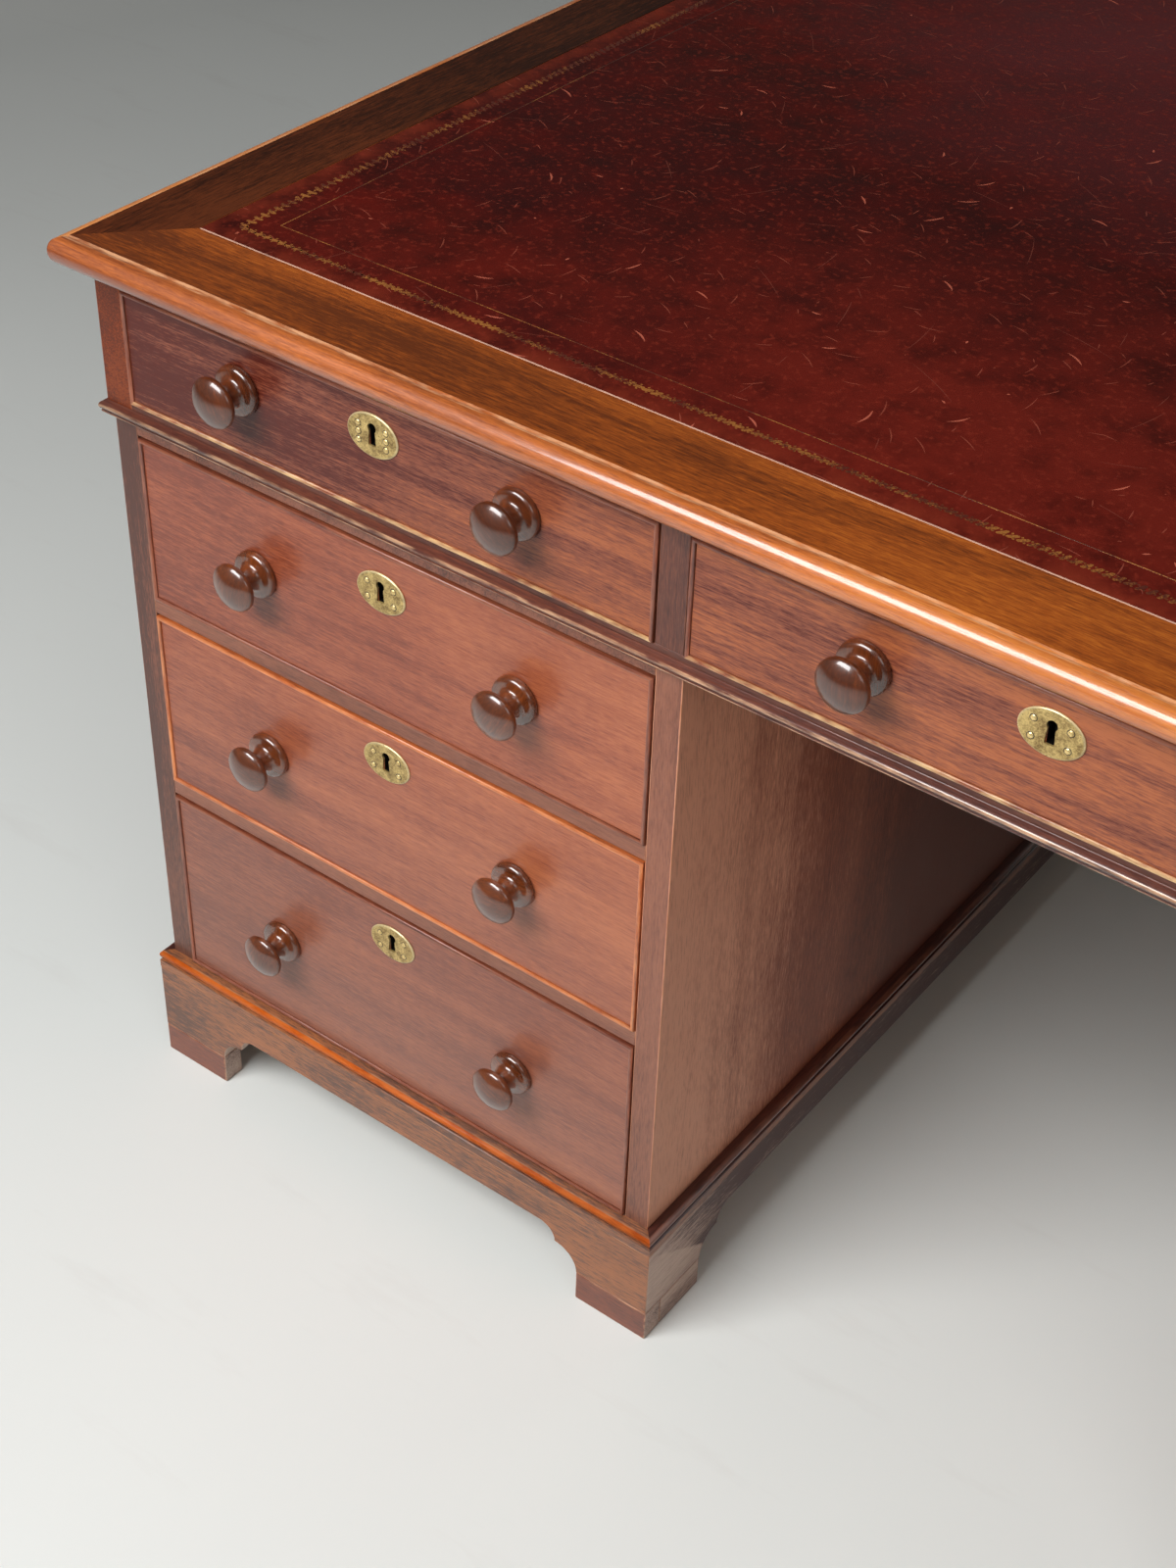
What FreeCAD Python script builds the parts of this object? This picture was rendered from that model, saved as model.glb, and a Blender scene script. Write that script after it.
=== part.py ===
import FreeCAD
import Part
import Sketcher
import math
import os
import re

# A mahogany partners desk that is used from both long sides.
# X runs to the right, Y to the back and Z up. The origin is on the floor, under the middle of the desk.

# Every size that can be set by itself, in millimetres.
SIZES = {
    # Overall
    "top_width": 1536,
    "top_depth": 1084,
    "desk_height": 773,
    # Writing top
    "top_thickness": 21.6,
    "top_overhang": 22,
    "front_border": 77,
    "end_border": 71,
    "nose_height": 20.8,
    "nose_radius": 10.3,
    "quirk_inset": 12.7,
    "leather_thickness": 1.6,
    "leather_sink": 0.2,
    # Frieze, the frame of drawers under the top
    "frieze_lower_rail": 15,
    "frieze_upper_rail": 9.4,
    "frieze_opening": 90,
    "frieze_middle_board": 18,
    "muntin_width": 22,
    "rail_depth": 60,
    "waist_height": 10,
    "waist_projection": 5,
    "waist_radius": 4,
    # Pedestals
    "pedestal_width": 496,
    "pedestal_setback": 3,
    "side_board": 21,
    "pedestal_top_board": 12,
    "upper_rail": 13,
    "lower_rail": 14,
    "upper_opening": 140,
    "middle_opening": 160,
    "bottom_board": 18,
    "pedestal_partition": 16,
    "runner_width": 18,
    "stop_spread": 100,
    "stop_width": 40,
    "stop_depth": 15,
    "stop_height": 5,
    # Plinths and feet
    "plinth_height": 98,
    "plinth_projection": 9.5,
    "plinth_radius": 8,
    "bracket_thickness": 20,
    "foot_height": 30,
    "foot_across": 68,
    "foot_along": 73,
    "low_cove": 22,
    "high_cove": 15,
    "corner_block": 32,
    "block_lift": 3,
    # Drawers
    "drawer_front": 20,
    "drawer_side": 10,
    "drawer_back": 10,
    "drawer_bottom": 6,
    "bottom_rise": 9,
    "groove_depth": 5,
    "side_drop": 4,
    "side_gap": 1,
    "head_gap": 2,
    "back_gap": 12,
    "bead_width": 3,
    "bead_seat": 8,
    "bead_proud": 2,
    # Turned knobs
    "frieze_knob_spacing": 238,
    "centre_knob_spacing": 241,
    "pedestal_knob_spacing": 234,
    "knob_radius": 18.5,
    "knob_ring": 6,
    "knob_step_radius": 13,
    "knob_step": 9,
    "knob_neck_radius": 8.5,
    "knob_neck": 18,
    "knob_rim_low": 22,
    "knob_rim_high": 25,
    "knob_length": 33,
    "spigot_radius": 7,
    "spigot_length": 15,
    "spigot_fit": 0.1,
    "frieze_knob_rise": 6,
    "lower_knob_drop": 5,
    # Locks and escutcheons
    "escutcheon_width": 43,
    "escutcheon_height": 32,
    "escutcheon_thickness": 1.5,
    "keyhole_radius": 3.6,
    "keyhole_slot": 5,
    "keyhole_drop": 13.2,
    "keyhole_rise": 5.8,
    "lock_width": 56,
    "lock_height": 38,
    "lock_depth": 11,
    "door_lock_width": 40,
    "frieze_lock_drop": 29,
    "upper_lock_drop": 36,
    "middle_lock_drop": 30,
    "lower_lock_drop": 32,
    "pin_spread": 11.7,
    "pin_height": 6.2,
    "pin_head_radius": 1.6,
    "pin_head": 0.8,
    "pin_radius": 0.8,
    "pin_length": 8,
    "pin_fit": 0.1,
    # Cupboards on the back of the pedestals
    "door_thickness": 22,
    "door_gap": 1,
    "door_stile": 62,
    "door_rail": 66,
    "door_panel": 10,
    "panel_seat": 8,
    "panel_margin": 0.5,
    "door_knob_rise": 70,
    "shelf_thickness": 16,
    "shelf_rise": 250,
    "shelf_gap": 0.5,
    "shelf_setback": 30,
    "bearer": 15,
    "door_stop": 10,
    # Butt hinges
    "hinge_length": 63,
    "hinge_inset": 70,
    "hinge_leaf": 2.2,
    "leaf_gap": 0.4,
    "leaf_depth": 18,
    "hinge_pin_radius": 2,
    "hinge_pin_fit": 0.05,
    "knuckle_radius": 4,
    "knuckle_clearance": 0.2,
    "knuckle_gap": 0.4,
}

# Places that follow from the sizes above.
PLACES = {
    "top_underside": "desk_height - top_thickness",
    "top_half_width": "top_width / 2",
    "top_half_depth": "top_depth / 2",
    "field_half_width": "top_half_width - end_border",
    "field_half_depth": "top_half_depth - front_border",
    "leather_top": "desk_height - leather_sink",
    "leather_low": "leather_top - leather_thickness",
    "frieze_half_width": "top_half_width - top_overhang",
    "frieze_half_depth": "top_half_depth - top_overhang",
    "frieze_bay_high": "top_underside - frieze_upper_rail",
    "frieze_bay_low": "frieze_bay_high - frieze_opening",
    "frieze_low": "frieze_bay_low - frieze_lower_rail",
    "pedestal_outer": "frieze_half_width - pedestal_setback",
    "pedestal_inner": "pedestal_outer - pedestal_width",
    "pedestal_middle": "pedestal_outer - pedestal_width / 2",
    "pedestal_face": "frieze_half_depth - pedestal_setback",
    "bay_outer": "pedestal_outer - side_board",
    "bay_inner": "pedestal_inner + side_board",
    "bay_width": "bay_outer - bay_inner",
    "centre_bay_half": "bay_inner - muntin_width",
    "centre_bay_width": "2 * centre_bay_half",
    "floor_level": "plinth_height + bottom_board",
    "upper_bay_high": "frieze_low - pedestal_top_board",
    "upper_bay_low": "upper_bay_high - upper_opening",
    "middle_bay_high": "upper_bay_low - upper_rail",
    "middle_bay_low": "middle_bay_high - middle_opening",
    "lower_bay_high": "middle_bay_low - lower_rail",
    "lower_opening": "lower_bay_high - floor_level",
    "rail_back": "pedestal_face - rail_depth",
    "frieze_rail_back": "frieze_half_depth - rail_depth",
    "pedestal_room": "pedestal_face - pedestal_partition / 2",
    "frieze_room": "frieze_half_depth - frieze_middle_board / 2",
    "plinth_half_width": "pedestal_width / 2 + plinth_projection",
    "plinth_half_depth": "pedestal_face + plinth_projection",
    "cupboard_height": "upper_bay_high - floor_level",
    "door_half_width": "bay_width / 2 - door_gap",
    "door_high": "cupboard_height - door_gap",
    "lock_stile_middle": "door_half_width - door_stile / 2",
    "hinge_pin_across": "bay_width / 2 - door_gap / 2",
    "hinge_pin_out": "knuckle_radius + knuckle_clearance",
    "shelf_front": "pedestal_face - door_thickness - shelf_setback",
    "shelf_low": "floor_level + shelf_rise",
}

document = FreeCAD.newDocument("PartnersDesk")
sheet = document.addObject("Spreadsheet::Sheet", "Sizes")
for row, (alias, size) in enumerate(SIZES.items(), start=1):
    sheet.set(f"A{row}", alias.replace("_", " "))
    sheet.set(f"B{row}", str(size))
    sheet.setAlias(f"B{row}", alias)
document.recompute()

nodes = []


def formula(text):
    """Turn a formula of plain size names into an expression on the Sizes sheet."""

    def expand(match):
        word = match.group(0)
        if word in PLACES:
            return "(" + formula(PLACES[word]) + ")"
        return "Sizes." + word

    return re.sub(r"[a-z][a-z_]+", expand, str(text))


def measure(text):
    """Value of a formula in millimetres."""
    return float(sheet.evalExpression(formula(text)))


def bind(item, formulas):
    for path, text in formulas.items():
        item.setExpression(path, formula(text))


def place(item, x, y, z, turn=0, axis=(0, 0, 1)):
    """Put an item at formulas x, y and z, turned in degrees about an axis."""
    item.Placement.Rotation = FreeCAD.Rotation(FreeCAD.Vector(*axis), turn)
    bind(item, {"Placement.Base.x": x, "Placement.Base.y": y, "Placement.Base.z": z})


def minus(text):
    return f"-({text})"


def spread(side, near, far):
    """Low and high end of a stretch that lies on the positive or the negative side."""
    return (near, far) if side > 0 else (minus(far), minus(near))


def board(name, x, y, z):
    """A squared board that reaches from the low to the high formula along each axis."""
    item = document.addObject("Part::Box", name)
    for size, (low, high) in zip(("Length", "Width", "Height"), (x, y, z)):
        bind(item, {size: f"({high}) - ({low})"})
    place(item, x[0], y[0], z[0])
    return item


def rod(name, radius, length, x, y, z, turn=0, axis=(1, 0, 0)):
    """A round rod that starts at x, y, z. A turn of -90 points it along +Y, and 90 along -Y."""
    item = document.addObject("Part::Cylinder", name)
    bind(item, {"Radius": radius, "Height": length})
    place(item, x, y, z, turn, axis)
    return item


def joined(name, pieces):
    item = document.addObject("Part::MultiFuse", name)
    item.Shapes = pieces
    return item


def cut(name, base, tools):
    item = document.addObject("Part::Cut", name)
    item.Base = base
    item.Tool = tools[0] if len(tools) == 1 else joined(name + "_cutters", tools)
    return item


def node(name, pieces, x="0", y="0", z="0", turn=0):
    """One named sub-part, whose pieces stay separate solids."""
    item = document.addObject("Part::Compound", name)
    item.Label = name
    item.Links = pieces
    place(item, x, y, z, turn)
    nodes.append(item)
    return item


def origin_plane(body, role):
    return next(plane for plane in body.Origin.OriginFeatures if plane.Role == role)


def new_sketch(body, name, role):
    sketch = body.newObject("Sketcher::SketchObject", name)
    sketch.AttachmentSupport = (origin_plane(body, role), [""])
    sketch.MapMode = "FlatFace"
    return sketch


def fix_point(sketch, line, end, x, y):
    """Hold the end of a line at formulas x and y from the sketch's origin."""
    for kind, text in (("DistanceX", x), ("DistanceY", y)):
        held = sketch.addConstraint(Sketcher.Constraint(kind, -1, 1, line, end, measure(text)))
        bind(sketch, {f"Constraints[{held}]": text})


def straight_outline(body, name, role, corners):
    """A closed outline of straight lines through corners, each a pair of formulas."""
    sketch = new_sketch(body, name, role)
    points = [FreeCAD.Vector(measure(x), measure(y), 0) for x, y in corners]
    count = len(points)
    for index, point in enumerate(points):
        sketch.addGeometry(Part.LineSegment(point, points[(index + 1) % count]))
    for index in range(count):
        sketch.addConstraint(Sketcher.Constraint("Coincident", index, 2, (index + 1) % count, 1))
    for index, (x, y) in enumerate(corners):
        fix_point(sketch, index, 1, x, y)
    return sketch


def mitred_board(name, length, width, run, thickness, radius, round_lower):
    """A board with a rounded outer edge along X, whose mitred ends run inwards by run over its width."""
    body = document.addObject("PartDesign::Body", name)
    plan = (("0", "0"), (length, "0"), (f"({length}) - ({run})", width), (run, width))
    pad = body.newObject("PartDesign::Pad", name + "_pad")
    pad.Profile = straight_outline(body, name + "_plan", "XY_Plane", plan)
    bind(pad, {"Length": thickness})
    document.recompute()
    levels = [measure(thickness)] + ([0.0] if round_lower else [])
    outer_edges = []
    for index, edge in enumerate(pad.Shape.Edges, start=1):
        box = edge.BoundBox
        if box.YMax < 1e-6 and box.ZLength < 1e-6 and any(abs(box.ZMax - level) < 1e-6 for level in levels):
            outer_edges.append(f"Edge{index}")
    rounding = body.newObject("PartDesign::Fillet", name + "_rounding")
    rounding.Base = (pad, outer_edges)
    bind(rounding, {"Radius": radius})
    return body


def ring(name, middle_x, half_width, half_depth, low, make):
    """Four boards around a rectangle. make(name, length, end) builds one in its own place."""
    left = f"{middle_x} - ({half_width})"
    right = f"{middle_x} + ({half_width})"
    sides = (
        ("front", left, minus(half_depth), 0, half_width),
        ("right", right, minus(half_depth), 90, half_depth),
        ("rear", right, half_depth, 180, half_width),
        ("left", left, half_depth, 270, half_depth),
    )
    pieces = []
    for side, x, y, turn, half_length in sides:
        piece = make(f"{name}_{side}", f"2 * ({half_length})", side in ("front", "rear"))
        place(piece, x, y, low, turn)
        pieces.append(piece)
    return pieces


# Writing top: a mitred and moulded border around a core, with the leather let in over the core. The
# border is wider along the fronts than at the ends, so its mitres run from corner to corner.
field_x = (minus("field_half_width"), "field_half_width")
field_y = (minus("field_half_depth"), "field_half_depth")
node("top_core_panel", [board("core", field_x, field_y, ("top_underside", "leather_low"))])
node("writing_leather", [board("leather", field_x, field_y, ("leather_low", "leather_top"))])


def border_board(name, length, across):
    """A border board: its nose, and above it the flat part, which a quirk keeps back from the edge."""
    width, run = ("front_border", "end_border") if across else ("end_border", "front_border")
    nose = mitred_board(name + "_nose", length, width, run, "nose_height", "nose_radius", True)
    flat = document.addObject("Part::Wedge", name + "_flat")
    inset = f"quirk_inset * {width} / front_border"
    start = f"quirk_inset * {run} / front_border"
    bind(flat, {"Xmin": start, "Xmax": f"{length} - {start}", "X2min": run, "X2max": f"{length} - {run}"})
    bind(flat, {"Ymin": inset, "Ymax": width, "Zmin": "nose_height", "Z2min": "nose_height"})
    bind(flat, {"Zmax": "top_thickness", "Z2max": "top_thickness"})
    return joined(name, [nose, flat])


border_outline = ("0", "top_half_width", "top_half_depth")
node("top_border_boards", ring("border", *border_outline, "top_underside", border_board))


# Frieze: end panels, rails and muntins on both long sides, and the partitions between the drawers.
def frieze():
    whole_depth = (minus("frieze_half_depth"), "frieze_half_depth")
    inner_depth = (minus("frieze_rail_back"), "frieze_rail_back")
    bay_height = ("frieze_bay_low", "frieze_bay_high")
    ends = []
    partitions = []
    for side in (-1, 1):
        end_x = spread(side, "bay_outer", "frieze_half_width")
        ends.append(board("frieze_end", end_x, whole_depth, ("frieze_low", "top_underside")))
        muntin_x = spread(side, "centre_bay_half", "bay_inner")
        partitions.append(board("partition", muntin_x, inner_depth, ("frieze_bay_low", "top_underside")))
        middle_y = (minus("frieze_middle_board / 2"), "frieze_middle_board / 2")
        outer_x = spread(side, "bay_inner", "bay_outer")
        partitions.append(board("middle_board", outer_x, middle_y, bay_height))
        for face in (-1, 1):
            rail_y = spread(face, "frieze_rail_back", "frieze_half_depth")
            partitions.append(board("muntin", muntin_x, rail_y, bay_height))
    centre_x = (minus("centre_bay_half"), "centre_bay_half")
    partitions.append(board("middle_board", centre_x, middle_y, bay_height))
    rails = []
    rail_x = (minus("bay_outer"), "bay_outer")
    for face in (-1, 1):
        rail_y = spread(face, "frieze_rail_back", "frieze_half_depth")
        rails.append(board("lower_rail", rail_x, rail_y, ("frieze_low", "frieze_bay_low")))
        rails.append(board("upper_rail", rail_x, rail_y, ("frieze_bay_high", "top_underside")))
    node("frieze_end_panels", ends)
    node("frieze_rails", rails)
    node("frieze_partitions", partitions)


frieze()


def waist_strip(name, length, across):
    projection = "waist_projection"
    return mitred_board(name, length, projection, projection, "waist_height", "waist_radius", True)


waist_half_width = "frieze_half_width + waist_projection"
waist_half_depth = "frieze_half_depth + waist_projection"
node("waist_moulding", ring("waist", "0", waist_half_width, waist_half_depth, "frieze_low", waist_strip))


# Guides: the runners that the drawers slide on, level with the rails in front of them, the kickers
# over the frieze drawers that keep them from tipping, and the stops behind every drawer's front.
def runners_and_kickers():
    pieces = []
    frieze_y = (minus("frieze_rail_back"), "frieze_rail_back")
    runner_z = ("frieze_low", "frieze_bay_low")
    kicker_z = ("frieze_bay_high", "top_underside")
    pedestal_y = (minus("rail_back"), minus("pedestal_partition / 2"))
    for side in (-1, 1):
        end_x = spread(side, "bay_outer - runner_width", "bay_outer")
        inner_x = spread(side, "bay_inner", "bay_inner + runner_width")
        centre_x = spread(side, "centre_bay_half - runner_width", "centre_bay_half")
        muntin_x = spread(side, "centre_bay_half - runner_width", "bay_inner + runner_width")
        pieces.append(board("end_runner", end_x, frieze_y, runner_z))
        pieces.append(board("muntin_runner", muntin_x, frieze_y, runner_z))
        for kicker_x in (end_x, inner_x, centre_x):
            pieces.append(board("kicker", kicker_x, frieze_y, kicker_z))
        for low, high in (("middle_bay_high", "upper_bay_low"), ("lower_bay_high", "middle_bay_low")):
            pieces.append(board("outer_runner", end_x, pedestal_y, (low, high)))
            pieces.append(board("inner_runner", inner_x, pedestal_y, (low, high)))
    return pieces


def drawer_stops(spot):
    """Two low blocks that a drawer's front closes against, in the drawer's own frame."""
    stop_y = ("drawer_front", "drawer_front + stop_depth")
    pieces = []
    for side in (-1, 1):
        stop_x = spread(side, "stop_spread - stop_width / 2", "stop_spread + stop_width / 2")
        pieces.append(board("stop", stop_x, stop_y, ("0", "stop_height")))
    pair = document.addObject("Part::Compound", "stops")
    pair.Links = pieces
    place(pair, *spot)
    return pair


# Hinges: each door turns on two butt hinges at its outer edge. The doors, their hinges and the
# housings for them share one frame: X across the door's bay, Y inwards from the pedestal's face
# and Z up from the cupboard's floor. hand is 1 where the hinges are on the +X side.
def hinge_lows():
    return ("door_gap + hinge_inset", "door_high - hinge_inset - hinge_length")


def moving_leaf_x(hand):
    return spread(hand, "hinge_pin_across - hinge_leaf", "hinge_pin_across - leaf_gap / 2")


def fixed_leaf_x(hand):
    return spread(hand, "hinge_pin_across + leaf_gap / 2", "hinge_pin_across + hinge_leaf")


def leaf_plate(name, leaf_x, low):
    return board(name, leaf_x, ("0", "leaf_depth"), (low, f"{low} + hinge_length"))


def knuckle(name, leaf_x, pin_x, low, high):
    """One knuckle with the tab that joins it to its leaf."""
    tab = board(name + "_tab", leaf_x, (minus("hinge_pin_out"), "0"), (low, high))
    tall = f"({high}) - ({low})"
    barrel = rod(name + "_barrel", "knuckle_radius", tall, pin_x, minus("hinge_pin_out"), low)
    return [tab, barrel]


def fixed_hinge_leaves(hand):
    pieces = []
    pin_x = f"{hand} * hinge_pin_across"
    leaf_x = fixed_leaf_x(hand)
    for low in hinge_lows():
        middle_low = f"{low} + hinge_length / 3 + knuckle_gap / 2"
        middle_high = f"{low} + 2 * hinge_length / 3 - knuckle_gap / 2"
        parts = [leaf_plate("fixed_plate", leaf_x, low)]
        parts += knuckle("fixed_knuckle", leaf_x, pin_x, middle_low, middle_high)
        bore_radius = "hinge_pin_radius + hinge_pin_fit"
        bore = rod("pin_bore", bore_radius, "hinge_length", pin_x, minus("hinge_pin_out"), low)
        pieces.append(cut("fixed_leaf", joined("fixed_leaf_blank", parts), [bore]))
    return pieces


def moving_hinge_leaves(hand):
    pieces = []
    pin_x = f"{hand} * hinge_pin_across"
    leaf_x = moving_leaf_x(hand)
    for low in hinge_lows():
        parts = [leaf_plate("moving_plate", leaf_x, low)]
        first_end = f"{low} + hinge_length / 3 - knuckle_gap / 2"
        parts += knuckle("low_knuckle", leaf_x, pin_x, low, first_end)
        last_start = f"{low} + 2 * hinge_length / 3 + knuckle_gap / 2"
        parts += knuckle("high_knuckle", leaf_x, pin_x, last_start, f"{low} + hinge_length")
        parts.append(rod("hinge_pin", "hinge_pin_radius", "hinge_length", pin_x, minus("hinge_pin_out"), low))
        pieces.append(joined("moving_leaf", parts))
    return pieces


# Pedestals: two side boards, a floor, a top, a partition between the drawers in front and the
# cupboard behind, and the rails between the drawers.
def pedestal(name, side):
    whole_depth = (minus("pedestal_face"), "pedestal_face")
    side_height = ("plinth_height", "frieze_low")
    inner = board(name + "_inner_side", spread(side, "pedestal_inner", "bay_inner"), whole_depth, side_height)
    outer_x = spread(side, "bay_outer", "pedestal_outer")
    outer_blank = board(name + "_outer_side", outer_x, whole_depth, side_height)
    housings = []
    for low in hinge_lows():
        leaf_x = fixed_leaf_x(-side)
        plate = leaf_plate(name + "_housing", leaf_x, low)
        turned = document.addObject("Part::Compound", name + "_housing_turned")
        turned.Links = [plate]
        place(turned, f"{side} * pedestal_middle", "pedestal_face", "floor_level", 180)
        housings.append(turned)
    outer = cut(name + "_housed_side", outer_blank, housings)
    node(name + "_pedestal_sides", [inner, outer])
    bay_x = spread(side, "bay_inner", "bay_outer")
    boards = [
        board(name + "_floor", bay_x, whole_depth, ("plinth_height", "floor_level")),
        board(name + "_roof", bay_x, whole_depth, ("upper_bay_high", "frieze_low")),
        board(
            name + "_partition",
            bay_x,
            (minus("pedestal_partition / 2"), "pedestal_partition / 2"),
            ("floor_level", "upper_bay_high"),
        ),
    ]
    node(name + "_pedestal_boards", boards)


pedestal("left", -1)
pedestal("right", 1)


def drawer_rails():
    pieces = []
    rail_y = (minus("pedestal_face"), minus("rail_back"))
    for side in (-1, 1):
        bay_x = spread(side, "bay_inner", "bay_outer")
        pieces.append(board("upper_drawer_rail", bay_x, rail_y, ("middle_bay_high", "upper_bay_low")))
        pieces.append(board("lower_drawer_rail", bay_x, rail_y, ("lower_bay_high", "middle_bay_low")))
    node("pedestal_rails", pieces)


drawer_rails()


# Plinths: a moulding around the foot of each pedestal, bracket boards cut with two coves at each
# end, the strips that tip the feet, and a glued block in each corner.
def plinth_strip(name, length, across):
    projection = "plinth_projection"
    return mitred_board(name, length, projection, projection, "bottom_board", "plinth_radius", False)


def bracket_board(name, length, across):
    """A mitred board with the space between its feet cut away under two coves at each end."""
    blank = document.addObject("Part::Wedge", name + "_blank")
    height = "plinth_height - foot_height"
    bind(blank, {"Xmin": "0", "Xmax": length, "X2min": "bracket_thickness"})
    bind(blank, {"X2max": f"{length} - bracket_thickness", "Ymin": "0", "Ymax": "bracket_thickness"})
    bind(blank, {"Zmin": "0", "Zmax": height, "Z2min": "0", "Z2max": height})
    foot = "foot_across" if across else "foot_along"
    low_cove = f"{foot} + low_cove"
    high_cove = f"{low_cove} + high_cove"
    through = ("-bracket_thickness / 2", "bracket_thickness * 3 / 2")
    through_length = "2 * bracket_thickness"
    tools = [
        board(name + "_low_arch", (low_cove, f"{length} - ({low_cove})"), through, ("-1", "low_cove")),
        board(
            name + "_high_arch",
            (high_cove, f"{length} - ({high_cove})"),
            through,
            ("-1", "low_cove + high_cove"),
        ),
    ]
    for radius, along, up in (("low_cove", low_cove, "0"), ("high_cove", high_cove, "low_cove")):
        for x in (along, f"{length} - ({along})"):
            tools.append(rod(name + "_cove", radius, through_length, x, through[0], up, -90))
    return cut(name, blank, tools)


def feet(name, side):
    pieces = []
    tip_z = ("0", "foot_height")
    block_z = ("block_lift", "plinth_height")
    for end in (-1, 1):
        edge = f"{side} * pedestal_middle"
        outer = "plinth_half_width"
        inner = "plinth_half_width - bracket_thickness"
        tip_x = spread(end, f"{outer} - foot_across", outer)
        side_x = spread(end, inner, outer)
        block_x = spread(end, f"{inner} - corner_block", inner)
        for face in (-1, 1):
            back = "plinth_half_depth - bracket_thickness"
            tip_y = spread(face, back, "plinth_half_depth")
            side_y = spread(face, "plinth_half_depth - foot_along", back)
            block_y = spread(face, f"{back} - corner_block", back)
            for kind, x, y, z in (
                ("tip", tip_x, tip_y, tip_z),
                ("side_tip", side_x, side_y, tip_z),
                ("block", block_x, block_y, block_z),
            ):
                moved = tuple(f"{edge} + {text}" for text in x)
                pieces.append(board(f"{name}_{kind}", moved, y, z))
    node(name + "_feet", pieces)


plinth_strips = []
for name, side in (("left", -1), ("right", 1)):
    middle = f"{side} * pedestal_middle"
    outline = (middle, "plinth_half_width", "plinth_half_depth")
    plinth_strips += ring(name + "_plinth", *outline, "plinth_height", plinth_strip)
    node(name + "_plinth_brackets", ring(name + "_bracket", *outline, "foot_height", bracket_board))
    feet(name, side)
node("plinth_mouldings", plinth_strips)


# Knobs: turned from one piece, with a spigot that goes through the front. The knob's own Z axis
# points out of the desk.
def knob(name, x, z):
    body = document.addObject("PartDesign::Body", name)
    sketch = new_sketch(body, name + "_profile", "XZ_Plane")
    corners = (
        ("0", "-spigot_length"),
        ("spigot_radius", "-spigot_length"),
        ("spigot_radius", "0"),
        ("knob_radius", "0"),
        ("knob_radius", "knob_ring"),
        ("knob_step_radius", "knob_ring"),
        ("knob_step_radius", "knob_step"),
        ("knob_neck_radius", "knob_step"),
        ("knob_neck_radius", "knob_neck"),
        ("knob_radius", "knob_rim_low"),
        ("knob_radius", "knob_rim_high"),
    )
    points = [FreeCAD.Vector(measure(along), measure(up), 0) for along, up in corners]
    for start, end in zip(points, points[1:]):
        sketch.addGeometry(Part.LineSegment(start, end))
    last = len(points) - 2
    crown = FreeCAD.Vector(0, measure("knob_length"), 0)
    rim = points[-1]
    middle = (crown.y**2 - rim.y**2 - rim.x**2) / (2 * (crown.y - rim.y))
    circle = Part.Circle(FreeCAD.Vector(0, middle, 0), FreeCAD.Vector(0, 0, 1), crown.y - middle)
    dome = sketch.addGeometry(Part.ArcOfCircle(circle, math.atan2(rim.y - middle, rim.x), math.pi / 2))
    axis = sketch.addGeometry(Part.LineSegment(crown, points[0]))
    for index in range(last):
        sketch.addConstraint(Sketcher.Constraint("Coincident", index, 2, index + 1, 1))
    sketch.addConstraint(Sketcher.Constraint("Coincident", last, 2, dome, 1))
    sketch.addConstraint(Sketcher.Constraint("Coincident", dome, 2, axis, 1))
    sketch.addConstraint(Sketcher.Constraint("Coincident", axis, 2, 0, 1))
    sketch.addConstraint(Sketcher.Constraint("PointOnObject", dome, 3, -2))
    for index, (along, up) in enumerate(corners[:-1]):
        fix_point(sketch, index, 1, along, up)
    fix_point(sketch, last, 2, *corners[-1])
    fix_point(sketch, dome, 2, "0", "knob_length")
    turning = body.newObject("PartDesign::Revolution", name + "_turning")
    turning.Profile = sketch
    turning.ReferenceAxis = (sketch, ["V_Axis"])
    turning.Angle = 360
    place(body, x, "0", z, 90, (1, 0, 0))
    return body


def knob_hole(name, x, z):
    return rod(name, "spigot_radius + spigot_fit", "spigot_length", x, "0", z, -90)


# Locks: a case housed in the back of the front, a keyhole through it, and an oval escutcheon that
# is held by four domed pins.
def keyhole(name, x, z, start, length):
    middle_low = f"{x} - keyhole_slot / 2"
    slot_y = (start, f"{start} + {length}")
    eye_z = f"{z} + keyhole_rise"
    slot_z = (f"{eye_z} - keyhole_drop", eye_z)
    slot = board(name + "_slot", (middle_low, f"{x} + keyhole_slot / 2"), slot_y, slot_z)
    return [slot, rod(name + "_eye", "keyhole_radius", length, x, start, eye_z, -90)]


def pin_places(x, z):
    return [
        (f"{x} + ({across} * pin_spread)", f"{z} + ({up} * pin_height)")
        for across in (-1, 1)
        for up in (-1, 1)
    ]


def lock_case(name, x, z, thickness, width):
    lock_x = (f"{x} - {width} / 2", f"{x} + {width} / 2")
    lock_y = (f"{thickness} - lock_depth", thickness)
    return board(name, lock_x, lock_y, (f"{z} - lock_height / 2", f"{z} + lock_height / 2"))


def lock_housing(name, x, z, thickness, width):
    """Cutters for the lock in a front of the given thickness."""
    cutters = [lock_case(name + "_pocket", x, z, thickness, width)]
    cutters += keyhole(name + "_keyhole", x, z, "0", f"({thickness} - lock_depth)")
    for pin_x, pin_z in pin_places(x, z):
        cutters.append(rod(name + "_pin_hole", "pin_radius + pin_fit", "pin_length", pin_x, "0", pin_z, -90))
    return cutters


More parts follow.
